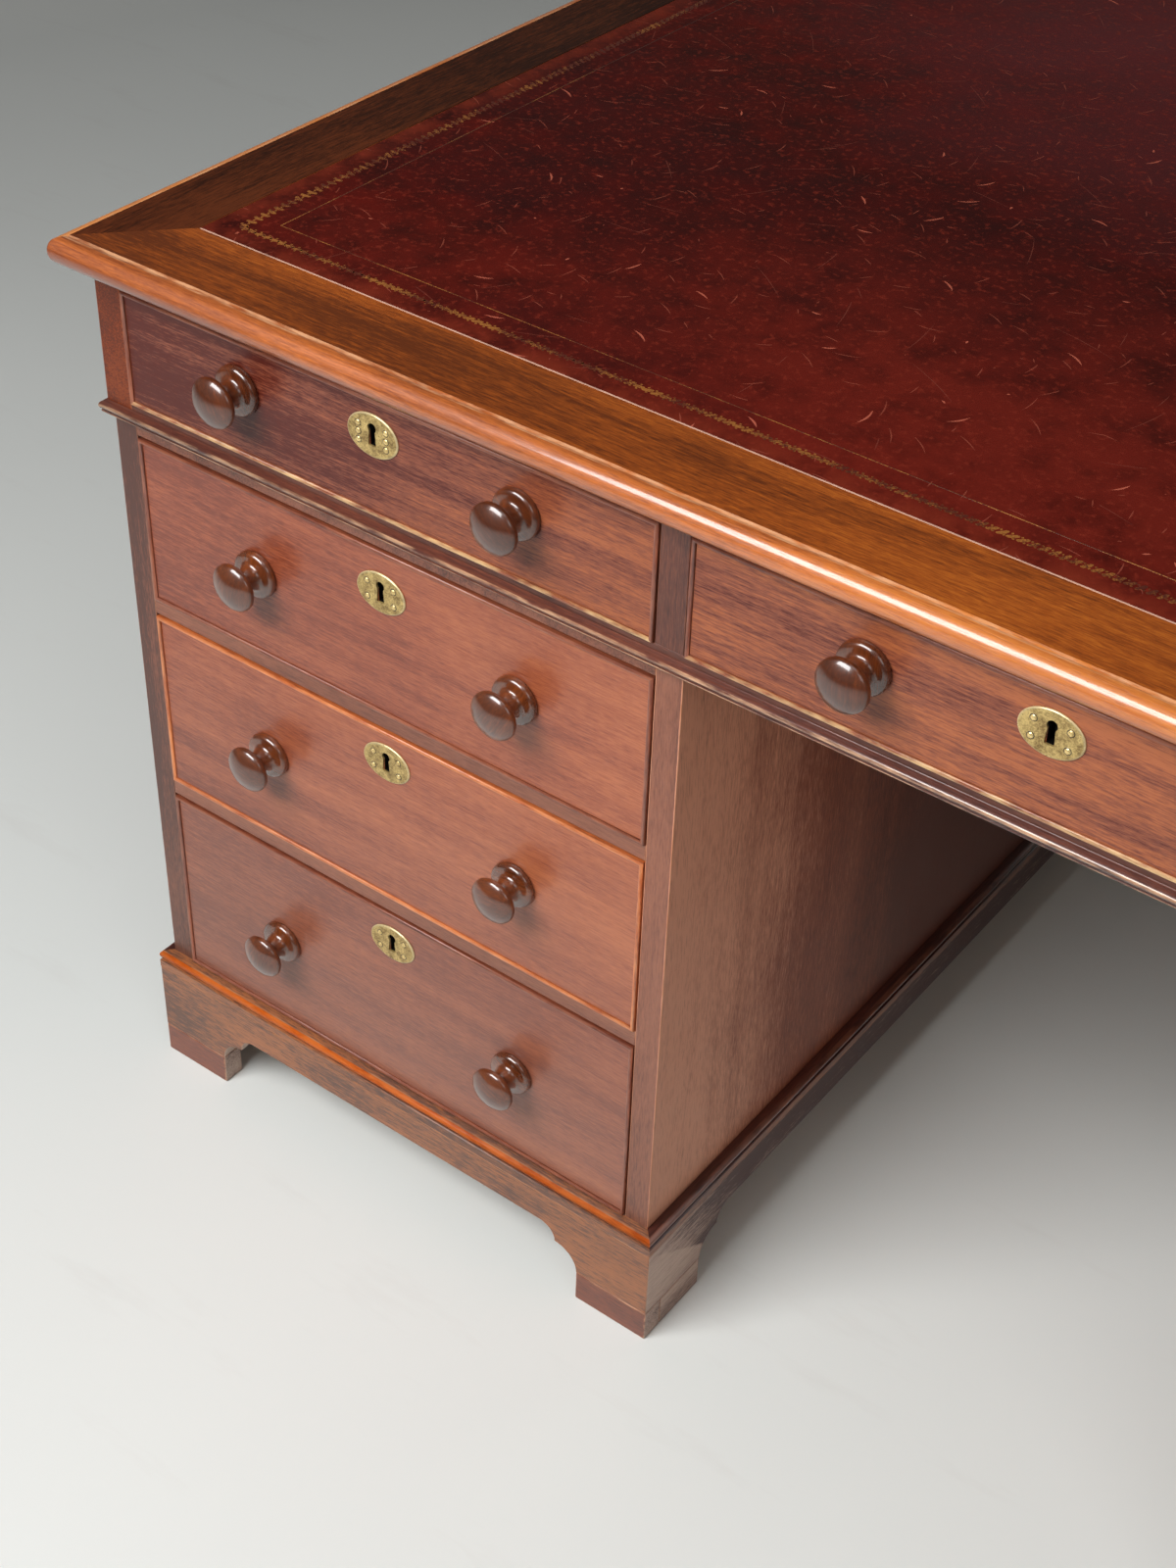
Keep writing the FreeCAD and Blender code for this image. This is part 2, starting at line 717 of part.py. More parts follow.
def lock(name, x, z, thickness, width):
    """The lock's own pieces: case, escutcheon and pins."""
    case = lock_case(name + "_case", x, z, thickness, width)
    oval = document.addObject("Part::Ellipse", name + "_oval")
    bind(oval, {"MajorRadius": "escutcheon_width / 2", "MinorRadius": "escutcheon_height / 2"})
    place(oval, x, "0", z, 90, (1, 0, 0))
    plate = document.addObject("Part::Extrusion", name + "_plate")
    plate.Base = oval
    plate.DirMode = "Custom"
    plate.Dir = FreeCAD.Vector(0, -1, 0)
    plate.Solid = True
    bind(plate, {"LengthFwd": "escutcheon_thickness"})
    face = "-escutcheon_thickness"
    holes = keyhole(name + "_plate_keyhole", x, z, face, "escutcheon_thickness")
    pins = []
    for pin_x, pin_z in pin_places(x, z):
        hole_radius = "pin_radius + pin_fit"
        holes.append(rod(name + "_plate_hole", hole_radius, "escutcheon_thickness", pin_x, face, pin_z, -90))
        head_low = "-escutcheon_thickness - pin_head"
        head = rod(name + "_pin_head", "pin_head_radius", "pin_head", pin_x, head_low, pin_z, -90)
        shank_length = "pin_length + escutcheon_thickness"
        shank = rod(name + "_pin_shank", "pin_radius", shank_length, pin_x, face, pin_z, -90)
        pins.append(joined(name + "_pin", [head, shank]))
    return [case, cut(name + "_escutcheon", plate, holes)] + pins


# Drawers: each is made in a frame of its own, with X across the bay, Y inwards from the carcass's
# face and Z up from the ledge that the drawer slides on.
def drawer(name, width, height, room, knob_spacing, knob_rise, lock_drop, spot):
    wide = f"({width} - 2 * side_gap)"
    high = f"({height} - head_gap)"
    half = f"({wide} / 2)"
    deep = f"({room} - back_gap)"
    side_high = f"({high} - side_drop)"
    floor_high = "(bottom_rise + drawer_bottom)"
    knob_z = f"{height} / 2 + {knob_rise}"
    lock_z = f"{height} - {lock_drop}"
    knob_places = (f"-{knob_spacing} / 2", f"{knob_spacing} / 2")
    whole_x = (minus(half), half)
    seat_y = ("0", "bead_seat")
    bead_y = ("-bead_proud", "bead_seat")
    lower_z = ("0", "bead_width")
    upper_z = (f"{high} - bead_width", high)
    blank = board(name + "_front", whole_x, ("0", "drawer_front"), ("0", high))
    rebates = [
        board(name + "_lower_rebate", whole_x, seat_y, lower_z),
        board(name + "_upper_rebate", whole_x, seat_y, upper_z),
    ]
    beads = [
        board(name + "_lower_bead", whole_x, bead_y, lower_z),
        board(name + "_upper_bead", whole_x, bead_y, upper_z),
    ]
    floor_x = (f"-{half} + drawer_side - groove_depth", f"{half} - drawer_side + groove_depth")
    floor_y = ("drawer_front - groove_depth", deep)
    floor_z = ("bottom_rise", floor_high)
    groove_y = ("drawer_front - groove_depth", "drawer_front")
    front_groove = board(name + "_front_groove", floor_x, groove_y, floor_z)
    sides = []
    for side in (-1, 1):
        edge_x = spread(side, f"{half} - bead_width", half)
        rebates.append(board(name + "_side_rebate", edge_x, seat_y, ("0", high)))
        beads.append(board(name + "_side_bead", edge_x, bead_y, ("bead_width", f"{high} - bead_width")))
        side_blank = board(
            name + "_side",
            spread(side, f"{half} - drawer_side", half),
            ("drawer_front", deep),
            ("0", side_high),
        )
        groove_x = spread(side, f"{half} - drawer_side", f"{half} - drawer_side + groove_depth")
        groove = board(name + "_side_groove", groove_x, ("drawer_front", deep), floor_z)
        sides.append(cut(name + "_grooved_side", side_blank, [groove]))
    holes = [knob_hole(name + "_knob_hole", x, knob_z) for x in knob_places]
    cutters = rebates + [front_groove] + holes
    cutters += lock_housing(name + "_lock", "0", lock_z, "drawer_front", "lock_width")
    front = cut(name + "_fitted_front", blank, cutters)
    floor = board(name + "_floor", floor_x, floor_y, floor_z)
    back_x = (f"-{half} + drawer_side", f"{half} - drawer_side")
    back = board(name + "_back", back_x, (f"{deep} - drawer_back", deep), (floor_high, side_high))
    node(name, [front, back, floor] + sides + beads, *spot)
    knobs = [knob(name + "_knob", x, knob_z) for x in knob_places]
    node(name + "_knobs", knobs, *spot)
    node(name + "_lock", lock(name + "_lock_part", "0", lock_z, "drawer_front", "lock_width"), *spot)


guides = runners_and_kickers()
for face_name, face, turn in (("front", -1, 0), ("rear", 1, 180)):
    for bay_name, across, width, spacing in (
        ("left", "-pedestal_middle", "bay_width", "frieze_knob_spacing"),
        ("centre", "0", "centre_bay_width", "centre_knob_spacing"),
        ("right", "pedestal_middle", "bay_width", "frieze_knob_spacing"),
    ):
        name = f"frieze_{face_name}_{bay_name}_drawer"
        spot = (across, f"{face} * frieze_half_depth", "frieze_bay_low", turn)
        fittings = (spacing, "frieze_knob_rise", "frieze_lock_drop")
        drawer(name, width, "frieze_opening", "frieze_room", *fittings, spot)
        guides.append(drawer_stops(spot))

for side_name, side in (("left", -1), ("right", 1)):
    for level, height, low, rise in (
        ("upper", "upper_opening", "upper_bay_low", "0"),
        ("middle", "middle_opening", "middle_bay_low", "0"),
        ("lower", "lower_opening", "floor_level", "-lower_knob_drop"),
    ):
        name = f"{side_name}_{level}_drawer"
        spot = (f"{side} * pedestal_middle", "-pedestal_face", low, 0)
        fittings = ("pedestal_knob_spacing", rise, f"{level}_lock_drop")
        drawer(name, "bay_width", height, "pedestal_room", *fittings, spot)
        guides.append(drawer_stops(spot))
node("drawer_guides", guides)


# Doors: a frame of two stiles and two rails around a panel that is held in grooves.
def door(name, hand, spot):
    stile_z = ("door_gap", "door_high")
    thick = ("0", "door_thickness")
    panel_y = ("door_thickness / 2 - door_panel / 2", "door_thickness / 2 + door_panel / 2")
    window_half = "(door_half_width - door_stile)"
    groove_half = f"({window_half} + panel_seat)"
    rail_low = "door_gap + door_rail"
    rail_high = "door_high - door_rail"
    groove_z = (f"{rail_low} - panel_seat", f"{rail_high} + panel_seat")
    lock_x = f"{-hand} * lock_stile_middle"
    lock_z = "cupboard_height / 2"
    knob_z = f"{lock_z} + door_knob_rise"
    pieces = []
    for side in (-1, 1):
        blank = board(name + "_stile", spread(side, window_half, "door_half_width"), thick, stile_z)
        cutters = [board(name + "_stile_groove", spread(side, window_half, groove_half), panel_y, groove_z)]
        if side == hand:
            cutters += [leaf_plate(name + "_leaf_housing", moving_leaf_x(hand), low) for low in hinge_lows()]
        else:
            cutters += lock_housing(name + "_lock", lock_x, lock_z, "door_thickness", "door_lock_width")
            cutters.append(knob_hole(name + "_knob_hole", lock_x, knob_z))
        pieces.append(cut(name + "_fitted_stile", blank, cutters))
    rail_x = (minus(window_half), window_half)
    for z, groove in (
        (("door_gap", rail_low), (groove_z[0], rail_low)),
        ((rail_high, "door_high"), (rail_high, groove_z[1])),
    ):
        rail = board(name + "_rail", rail_x, thick, z)
        rail_groove = board(name + "_rail_groove", rail_x, panel_y, groove)
        pieces.append(cut(name + "_grooved_rail", rail, [rail_groove]))
    panel_half = f"{groove_half} - panel_margin"
    panel_z = (f"{groove_z[0]} + panel_margin", f"{groove_z[1]} - panel_margin")
    pieces.append(board(name + "_panel", (minus(panel_half), panel_half), panel_y, panel_z))
    pieces.append(knob(name + "_knob", lock_x, knob_z))
    node(name, pieces, *spot)
    fittings = moving_hinge_leaves(hand)
    fittings += lock(name + "_lock_part", lock_x, lock_z, "door_thickness", "door_lock_width")
    node(name + "_fittings", fittings, *spot)


hinge_groups = []
shelves = []
for name, side in (("left", -1), ("right", 1)):
    spot = (f"{side} * pedestal_middle", "pedestal_face", "floor_level", 180)
    door(name + "_door", -side, spot)
    group = document.addObject("Part::Compound", name + "_fixed_leaves")
    group.Links = fixed_hinge_leaves(-side)
    place(group, *spot)
    hinge_groups.append(group)
    shelf_x = spread(side, "bay_inner + shelf_gap", "bay_outer - shelf_gap")
    shelf_y = ("pedestal_partition / 2", "shelf_front")
    shelves.append(board(name + "_shelf", shelf_x, shelf_y, ("shelf_low", "shelf_low + shelf_thickness")))
    bay_x = spread(side, "bay_inner", "bay_outer")
    stop_y = ("pedestal_face - door_thickness - door_stop", "pedestal_face - door_thickness")
    stop_z = ("upper_bay_high - door_stop", "upper_bay_high")
    shelves.append(board(name + "_door_stop", bay_x, stop_y, stop_z))
    bearer_z = ("shelf_low - bearer", "shelf_low")
    for bearer_x in (("bay_inner", "bay_inner + bearer"), ("bay_outer - bearer", "bay_outer")):
        shelves.append(board(name + "_bearer", spread(side, *bearer_x), shelf_y, bearer_z))
node("door_hinge_leaves", hinge_groups)
node("cupboard_shelves_and_stops", shelves)

document.recompute()

for item in document.Objects:
    if "Invalid" in item.State or "Error" in item.State:
        raise RuntimeError(f"{item.Label} failed: {item.State}")
for item in nodes:
    if item.Shape.isNull() or not item.Shape.isValid():
        raise RuntimeError(f"{item.Label} has no valid shape")

os.makedirs("parts", exist_ok=True)
for item in nodes:
    item.Shape.exportStep(f"parts/{item.Label}.step")
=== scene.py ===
import math
import random

import bmesh
import bpy
from mathutils import Matrix, Vector
from mathutils.geometry import tessellate_polygon


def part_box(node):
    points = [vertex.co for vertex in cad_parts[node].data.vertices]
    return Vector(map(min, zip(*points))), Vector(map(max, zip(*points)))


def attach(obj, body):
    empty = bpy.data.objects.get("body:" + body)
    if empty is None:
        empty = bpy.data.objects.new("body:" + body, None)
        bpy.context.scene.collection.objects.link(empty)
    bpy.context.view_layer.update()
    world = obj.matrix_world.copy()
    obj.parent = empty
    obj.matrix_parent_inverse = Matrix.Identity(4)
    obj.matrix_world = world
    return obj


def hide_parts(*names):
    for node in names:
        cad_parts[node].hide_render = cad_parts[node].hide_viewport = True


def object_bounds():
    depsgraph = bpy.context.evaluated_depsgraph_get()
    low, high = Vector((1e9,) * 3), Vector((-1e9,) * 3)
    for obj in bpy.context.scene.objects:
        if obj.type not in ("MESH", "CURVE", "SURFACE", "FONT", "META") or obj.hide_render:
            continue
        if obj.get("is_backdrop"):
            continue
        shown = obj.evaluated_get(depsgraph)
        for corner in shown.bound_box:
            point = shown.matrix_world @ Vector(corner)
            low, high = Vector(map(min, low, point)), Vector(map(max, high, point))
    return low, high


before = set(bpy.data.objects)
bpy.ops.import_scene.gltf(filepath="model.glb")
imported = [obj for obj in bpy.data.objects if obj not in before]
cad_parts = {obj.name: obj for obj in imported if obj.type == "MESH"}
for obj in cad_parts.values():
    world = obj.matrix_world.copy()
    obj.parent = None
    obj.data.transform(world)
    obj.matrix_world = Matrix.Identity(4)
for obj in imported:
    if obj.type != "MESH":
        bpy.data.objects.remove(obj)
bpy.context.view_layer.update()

# ---- Carcass boards inside the desk ----
# Runners, stops, tops and bottoms of the pedestals and the shelves are bare oak that was planed and
# left unpolished. Each board is the CAD's own, with its sharp edges eased and a run of grain of its own.


def shade(red, green, blue):
    """A colour written as it looks on a screen, 0 to 255, as the linear value that a shader takes."""
    parts = (value / 255 for value in (red, green, blue))
    return (*(part / 12.92 if part < 0.04 else ((part + 0.055) / 1.055) ** 2.4 for part in parts), 1.0)


def put(tree, kind, inputs=None, **settings):
    """Adds a node to a tree. An input is given a plain value, or the socket that feeds it."""
    item = tree.nodes.new(kind)
    for name, value in settings.items():
        setattr(item, name, value)
    for key, value in (inputs or {}).items():
        if isinstance(value, bpy.types.NodeSocket):
            tree.links.new(value, item.inputs[key])
        else:
            item.inputs[key].default_value = value
    return item


def fed(tree, kind, inputs=None, **settings):
    """Adds a node, and gives its first output."""
    return put(tree, kind, inputs, **settings).outputs[0]


def reckon(tree, operation, first, second=0.0):
    return fed(tree, "ShaderNodeMath", {0: first, 1: second}, operation=operation)


def times(tree, first, second):
    return reckon(tree, "MULTIPLY", first, second)


def plus(tree, first, second):
    return reckon(tree, "ADD", first, second)


def minus(tree, first, second):
    return reckon(tree, "SUBTRACT", first, second)


def of_vectors(tree, operation, first, second=(0.0, 0.0, 0.0)):
    return put(tree, "ShaderNodeVectorMath", {0: first, 1: second}, operation=operation).outputs


def stretched(tree, place, amounts):
    return of_vectors(tree, "MULTIPLY", place, amounts)[0]


def place_in(tree):
    """Where a point of the desk is, in metres."""
    return put(tree, "ShaderNodeTexCoord").outputs["Object"]


def marked(tree, name):
    """A number that the corners of the mesh carry."""
    return put(tree, "ShaderNodeAttribute", attribute_name=name).outputs["Fac"]


def cloud(tree, place, scale, detail=2.0, roughness=0.5):
    """Soft noise. Its scale is one number, or one for each axis."""
    if isinstance(scale, tuple):
        place, scale = stretched(tree, place, scale), 1.0
    inputs = {"Vector": place, "Scale": scale, "Detail": detail, "Roughness": roughness}
    return put(tree, "ShaderNodeTexNoise", inputs).outputs["Fac"]


def between(tree, value, low, high, to_low=0.0, to_high=1.0):
    """Follows value from low to high, and stays level outside them."""
    inputs = {"Value": value, "From Min": low, "From Max": high, "To Min": to_low, "To Max": to_high}
    return put(tree, "ShaderNodeMapRange", inputs).outputs["Result"]


def mixed(tree, share, under, over):
    inputs = {0: share, 6: under, 7: over}
    return put(tree, "ShaderNodeMix", inputs, data_type="RGBA").outputs[2]


def shader_group(name, inputs, outputs):
    """An empty shader group. Inputs are given as name and default, outputs as name and socket type."""
    group = bpy.data.node_groups.new(name, "ShaderNodeTree")
    for label, default in inputs.items():
        kind = "NodeSocketFloat" if isinstance(default, float) else "NodeSocketColor"
        group.interface.new_socket(name=label, in_out="INPUT", socket_type=kind).default_value = default
    for label, kind in outputs.items():
        group.interface.new_socket(name=label, in_out="OUTPUT", socket_type=kind)
    return group, group.nodes.new("NodeGroupInput").outputs, group.nodes.new("NodeGroupOutput").inputs


def wood_figure():
    """Grain of a board. Its 'grain' attribute runs along, across and into the board, in metres."""
    colours = {name: shade(128, 128, 128) for name in ("Light", "Middle", "Dark", "Worn")}
    amounts = dict(Streak=0.8, Figure=0.5, Pores=0.3, Stain=0.3, Wear=0.6, Bloom=0.0, Rough=0.4)
    results = {"Color": "NodeSocketColor", "Roughness": "NodeSocketFloat", "Height": "NodeSocketFloat"}
    group, given, result = shader_group("wood figure", {**colours, **amounts}, results)
    grain = put(group, "ShaderNodeAttribute", attribute_name="grain").outputs["Vector"]
    arris = marked(group, "arris")
    sway = between(group, cloud(group, grain, (2.1, 7.0, 7.0)), 0.2, 0.8, -0.011, 0.011)
    sway = fed(group, "ShaderNodeCombineXYZ", {1: sway})
    lines = of_vectors(group, "ADD", grain, sway)[0]
    broad = cloud(group, lines, (1.7, 46.0, 46.0), detail=3.0, roughness=0.6)
    fine = cloud(group, lines, (6.0, 330.0, 330.0), detail=4.0, roughness=0.7)
    ribbon = cloud(group, lines, (9.0, 15.0, 15.0), detail=3.0)
    fleck = cloud(group, grain, (90.0, 900.0, 900.0), detail=3.0, roughness=0.7)
    pores = cloud(group, lines, (75.0, 1700.0, 1700.0), detail=1.0)
    patina = cloud(group, grain, (3.1, 6.3, 6.3), detail=3.0)
    streak = plus(group, broad, times(group, fine, 0.7))
    streak = times(group, minus(group, streak, 0.85), given["Streak"])
    figure = plus(group, ribbon, times(group, fleck, 2.4))
    figure = times(group, minus(group, figure, 1.7), given["Figure"])
    shift = times(group, marked(group, "tone"), 0.25)
    tone = plus(group, plus(group, streak, figure), plus(group, shift, 0.5))
    colour = mixed(group, between(group, tone, 0.22, 0.5), given["Dark"], given["Middle"])
    colour = mixed(group, between(group, tone, 0.5, 0.82), colour, given["Light"])
    spots = times(group, between(group, pores, 0.56, 0.68), given["Pores"])
    dents = put(group, "ShaderNodeTexVoronoi", {"Vector": grain, "Scale": 13.0}).outputs
    chosen = fed(group, "ShaderNodeSeparateColor", {0: dents["Color"]})
    dents = reckon(group, "LESS_THAN", dents["Distance"], between(group, chosen, 0.55, 1.0, 0.0, 0.017))
    spots = reckon(group, "MAXIMUM", spots, times(group, dents, 0.8))
    colour = mixed(group, spots, colour, given["Dark"])
    stain = times(group, between(group, patina, 0.5, 0.72), given["Stain"])
    colour = mixed(group, stain, colour, given["Dark"])
    place = place_in(group)
    height = put(group, "ShaderNodeSeparateXYZ", {0: place}).outputs[2]
    # Painted reflection of the pale floor: below 0.48 m the colour greys towards a warm grey, most near the
    # floor.
    painted_floor_sheen = times(group, between(group, height, 0.1, 0.48, 1.0, 0.0), given["Bloom"])
    colour = mixed(group, painted_floor_sheen, colour, shade(138, 112, 98))
    rubbed = cloud(group, grain, (38.0, 160.0, 160.0), detail=3.0, roughness=0.6)
    rubbed = times(group, between(group, rubbed, 0.38, 0.62), given["Wear"])
    colour = mixed(group, times(group, rubbed, arris), colour, given["Worn"])
    rough = plus(group, given["Rough"], between(group, patina, 0.3, 0.7, -0.05, 0.07))
    rough = plus(group, rough, times(group, spots, 0.15))
    height = minus(group, times(group, fine, 0.6), spots)
    for name, socket in (("Color", colour), ("Roughness", rough), ("Height", height)):
        group.links.new(socket, result[name])
    return group


WOOD_FIGURE = wood_figure()


def new_finish(name):
    """An empty material, and its tree."""
    material = bpy.data.materials.new(name)
    material.use_nodes = True
    material.node_tree.nodes.clear()
    return material, material.node_tree


def end_finish(material, surface):
    """Ends a material's tree in a shader with these inputs."""
    shader = put(material.node_tree, "ShaderNodeBsdfPrincipled", surface)
    put(material.node_tree, "ShaderNodeOutputMaterial", {"Surface": shader.outputs[0]})
    return material


def wood(
    name, light, middle, dark, worn, coat=0.5, coat_rough=0.2, coat_ior=1.5, bump=0.25, specular=0.5,
    **amounts,
):
    """A wood finish: its colours, how strong each kind of figure is, and its polish."""
    material, tree = new_finish(name)
    colours = {"Light": shade(*light), "Middle": shade(*middle), "Dark": shade(*dark), "Worn": shade(*worn)}
    figure = put(tree, "ShaderNodeGroup", {**colours, **amounts}, node_tree=WOOD_FIGURE).outputs
    relief = put(tree, "ShaderNodeBump", {"Strength": bump, "Distance": 0.0003, "Height": figure["Height"]})
    surface = {"Base Color": figure["Color"], "Roughness": figure["Roughness"], "Normal": relief.outputs[0]}
    polish = {"Coat Weight": coat, "Coat Roughness": coat_rough, "Coat IOR": coat_ior}
    return end_finish(material, {**surface, **polish, "Specular IOR Level": specular})


def blank():
    """An empty mesh whose faces carry a board's number, its grain, its tone and the wear of its arrises."""
    shape = bmesh.new()
    shape.faces.layers.int.new("board")
    shape.loops.layers.float.new("arris")
    shape.loops.layers.float.new("tone")
    shape.loops.layers.float_vector.new("grain")
    return shape


def solids(node):
    """Each solid of a CAD node, as a list of triangles. They follow each other, each a closed surface."""
    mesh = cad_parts[node].data
    steps_in_metre = 200000
    found, pieces, loose = [], [], set()
    for face in mesh.polygons:
        corners = [mesh.vertices[index].co.copy() for index in face.vertices]
        keys = [tuple(round(value * steps_in_metre) for value in corner) for corner in corners]
        pieces.append(list(zip(keys, corners)))
        for start, end in zip(keys, keys[1:] + keys[:1]):
            if (end, start) in loose:
                loose.discard((end, start))
            else:
                loose.add((start, end))
        if not loose:
            found.append(pieces)
            pieces = []
    return found + ([pieces] if pieces else [])


def run_grain(shape, faces, along, draw, tone=0.0, fade=0.0):
    """Lays the grain of one board along an axis, from a place of its own in the timber. Fade is how much
    its tone rises in a metre from left to right."""
    shade_of_board = shape.loops.layers.float["tone"]
    tone += draw.uniform(-0.25, 0.25)
    grain = shape.loops.layers.float_vector["grain"]
    places = [corner.co for face in faces for corner in face.verts]
    size = [max(place[axis] for place in places) - min(place[axis] for place in places) for axis in range(3)]
    if along is None:
        along = size.index(max(size))
    across, into = sorted((axis for axis in range(3) if axis != along), key=lambda axis: -size[axis])
    shift = Vector(draw.uniform(0, 3) for _ in range(3))
    middle = (max(place.x for place in places) + min(place.x for place in places)) / 2
    for face in faces:
        for loop in face.loops:
            place = loop.vert.co
            loop[grain] = Vector((place[along], place[across], place[into])) + shift
            loop[shade_of_board] = tone + fade * (place.x - middle)


def ease_arrises(shape, faces, ease, shortest):
    """Rounds the long sharp edges of some boards, and marks the rounded strips as places of wear."""
    arris = shape.loops.layers.float["arris"]
    edges = dict.fromkeys(edge for face in faces for edge in face.edges)
    flat, sharp = math.radians(1), math.radians(35)
    arrises = []
    for edge in edges:
        turn = edge.calc_face_angle(0.0)
        if turn > sharp and edge.is_convex and edge.calc_length() > shortest:
            arrises.append(edge)
        elif flat < turn < sharp:
            for face in edge.link_faces:
                face.smooth = True
    made = bmesh.ops.bevel(
        shape, geom=arrises, offset=ease, offset_type="OFFSET", segments=2, profile=0.5, affect="EDGES",
        clamp_overlap=True,
    )
    for face in made["faces"]:
        face.smooth = True
        for loop in face.loops:
            loop[arris] = 1.0


def add_boards(shape, node, ease, kinds=None, along=None, tone=0.0, fade=0.0, shortest=0.012):
    """Adds the boards of a CAD node with their arrises eased. Kinds are the materials of its first
    boards, and leave out the rest. Along is the axis of their grain, or else it's each board's longest."""
    draw = random.Random(node)
    number = shape.faces.layers.int["board"]
    first = 1 + max((face[number] for face in shape.faces), default=-1)
    before = set(shape.faces)
    found = solids(node)
    for count, triangles in enumerate(found[: len(kinds)] if kinds else found):
        corners = {}
        for triangle in triangles:
            verts = []
            for key, place in triangle:
                if key not in corners:
                    corners[key] = shape.verts.new(place)
                verts.append(corners[key])
            if len(set(verts)) == 3:
                face = shape.faces.new(verts)
                face[number] = first + count
                face.material_index = kinds[count] if kinds else 0
    added = [face for face in shape.faces if face not in before]
    verts = list(dict.fromkeys(corner for face in added for corner in face.verts))
    edges = list(dict.fromkeys(edge for face in added for edge in face.edges))
    bmesh.ops.dissolve_limit(shape, angle_limit=math.radians(0.5), verts=verts, edges=edges)
    added = [face for face in shape.faces if face not in before]
    ease_arrises(shape, added, ease, shortest)
    boards = {}
    for face in shape.faces:
        if face not in before:
            boards.setdefault(face[number] - first, []).append(face)
    for count, faces in boards.items():
        run_grain(shape, faces, along, draw, tone, fade)


def placed(name, data):
    """Puts an object made of some data in the scene."""
    thing = bpy.data.objects.new(name, data)
    bpy.context.scene.collection.objects.link(thing)
    return thing


def mesh_of(name, shape):
    """The mesh of a shape that isn't needed any more."""
    mesh = bpy.data.meshes.new(name)
    shape.to_mesh(mesh)
    shape.free()
    return mesh


def finished(name, shape, materials, body, slot, *replaced):
    mesh = mesh_of(name, shape)
    for material in materials:
        mesh.materials.append(material)
    piece = placed(name, mesh)
    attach(piece, body)
    if replaced:
        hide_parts(*replaced)


def plain_boards(name, node, ease, finish, slot, **how):
    """Makes one piece of the case from the boards of a CAD node, in one wood."""
    timber = blank()
    add_boards(timber, node, ease, **how)
    finished(name, timber, [finish], "case", slot, node)


oak = wood(
    "bare oak", (180, 148, 108), (158, 124, 86), (112, 80, 50), (190, 165, 130),
    coat=0.0, bump=0.5, Streak=1.1, Figure=0.25, Pores=0.7, Stain=0.35, Rough=0.62,
)
for node in ("drawer_guides", "cupboard_shelves_and_stops"):
    plain_boards(node + "_timber", node, 0.0006, oak, "carcass_oak")

# ---- Feet and bracket plinths ----
# Each pedestal stands on a plinth of bracket boards with a shallow arch between its corners, and on
# strips of solid mahogany under the brackets. The ones on the sides carry painted light and shade:
# pale at the corners of the desk, and dark between them.

PEDESTALS = (("left", -0.495), ("right", 0.495))
plinth_wood = wood(
    "plinth mahogany", (168, 96, 42), (130, 72, 34), (74, 36, 21), (176, 122, 84),
    coat=0.25, coat_rough=0.3, Streak=1.0, Figure=1.2, Stain=0.45, Wear=0.7, Bloom=0.2, Rough=0.42,
)
side_plinth_wood_painted_light_and_shade = wood(
    "side plinth mahogany with painted light and shade", (196, 168, 150), (176, 146, 130), (66, 28, 20), (190, 152, 130),
    coat=0.1, coat_rough=0.35, Figure=0.45, Stain=0.4, Rough=0.5,
)
foot_wood = wood(
    "foot strip mahogany", (138, 66, 34), (118, 50, 27), (80, 34, 22), (190, 136, 100),
    coat=0.25, coat_rough=0.3, Figure=0.7, Stain=0.35, Wear=0.9, Bloom=0.15, Rough=0.42,
)


def cut_across(shape, depth):
    """Cuts the boards of a mesh at one depth of the desk, so that their tone can turn there."""
    everything = list(shape.verts) + list(shape.edges) + list(shape.faces)
    bmesh.ops.bisect_plane(shape, geom=everything, plane_co=(0.0, depth, 0.0), plane_no=(0.0, 1.0, 0.0))


# The side boards turn from painted light to painted shade between these depths. The others get
# lighter to the right.
painted_shade_from, painted_light_from = 0.4, 0.45
pale, dark, rise = 0.6, -1.6, 1.6
for side, middle_x in PEDESTALS:
    brackets = blank()
    add_boards(brackets, side + "_plinth_brackets", 0.0008, shortest=0.0)
    cut_across(brackets, -painted_shade_from)
    cut_across(brackets, painted_shade_from)
    feet = blank()
    add_boards(feet, side + "_feet", 0.0012)
    for timber in (brackets, feet):
        for face in timber.faces:
            face.material_index = 1 if abs(face.normal.x) > 0.6 else 0
    tone = brackets.loops.layers.float["tone"]
    for face in brackets.faces:
        for loop in face.loops:
            if face.material_index == 0:
                loop[tone] += rise * (loop.vert.co.x - middle_x)
            else:
                loop[tone] += pale if abs(loop.vert.co.y) > painted_light_from else dark
    woods = [plinth_wood, side_plinth_wood_painted_light_and_shade]
    finished(side + "_bracket_boards", brackets, woods, "case", "case_mahogany", side + "_plinth_brackets")
    woods = [foot_wood, side_plinth_wood_painted_light_and_shade]
    finished(side + "_foot_strips", feet, woods, "case", "case_mahogany", side + "_feet")

# ---- Plinth mouldings ----
# A torus over a flat covers the joint of pedestal and plinth. It is run in solid mahogany, mitred at
# the corners and glued on. The front one has been rubbed back to bright wood, the rest are dark.

CORNERS = ((1, 1), (-1, 1), (-1, -1), (1, -1))


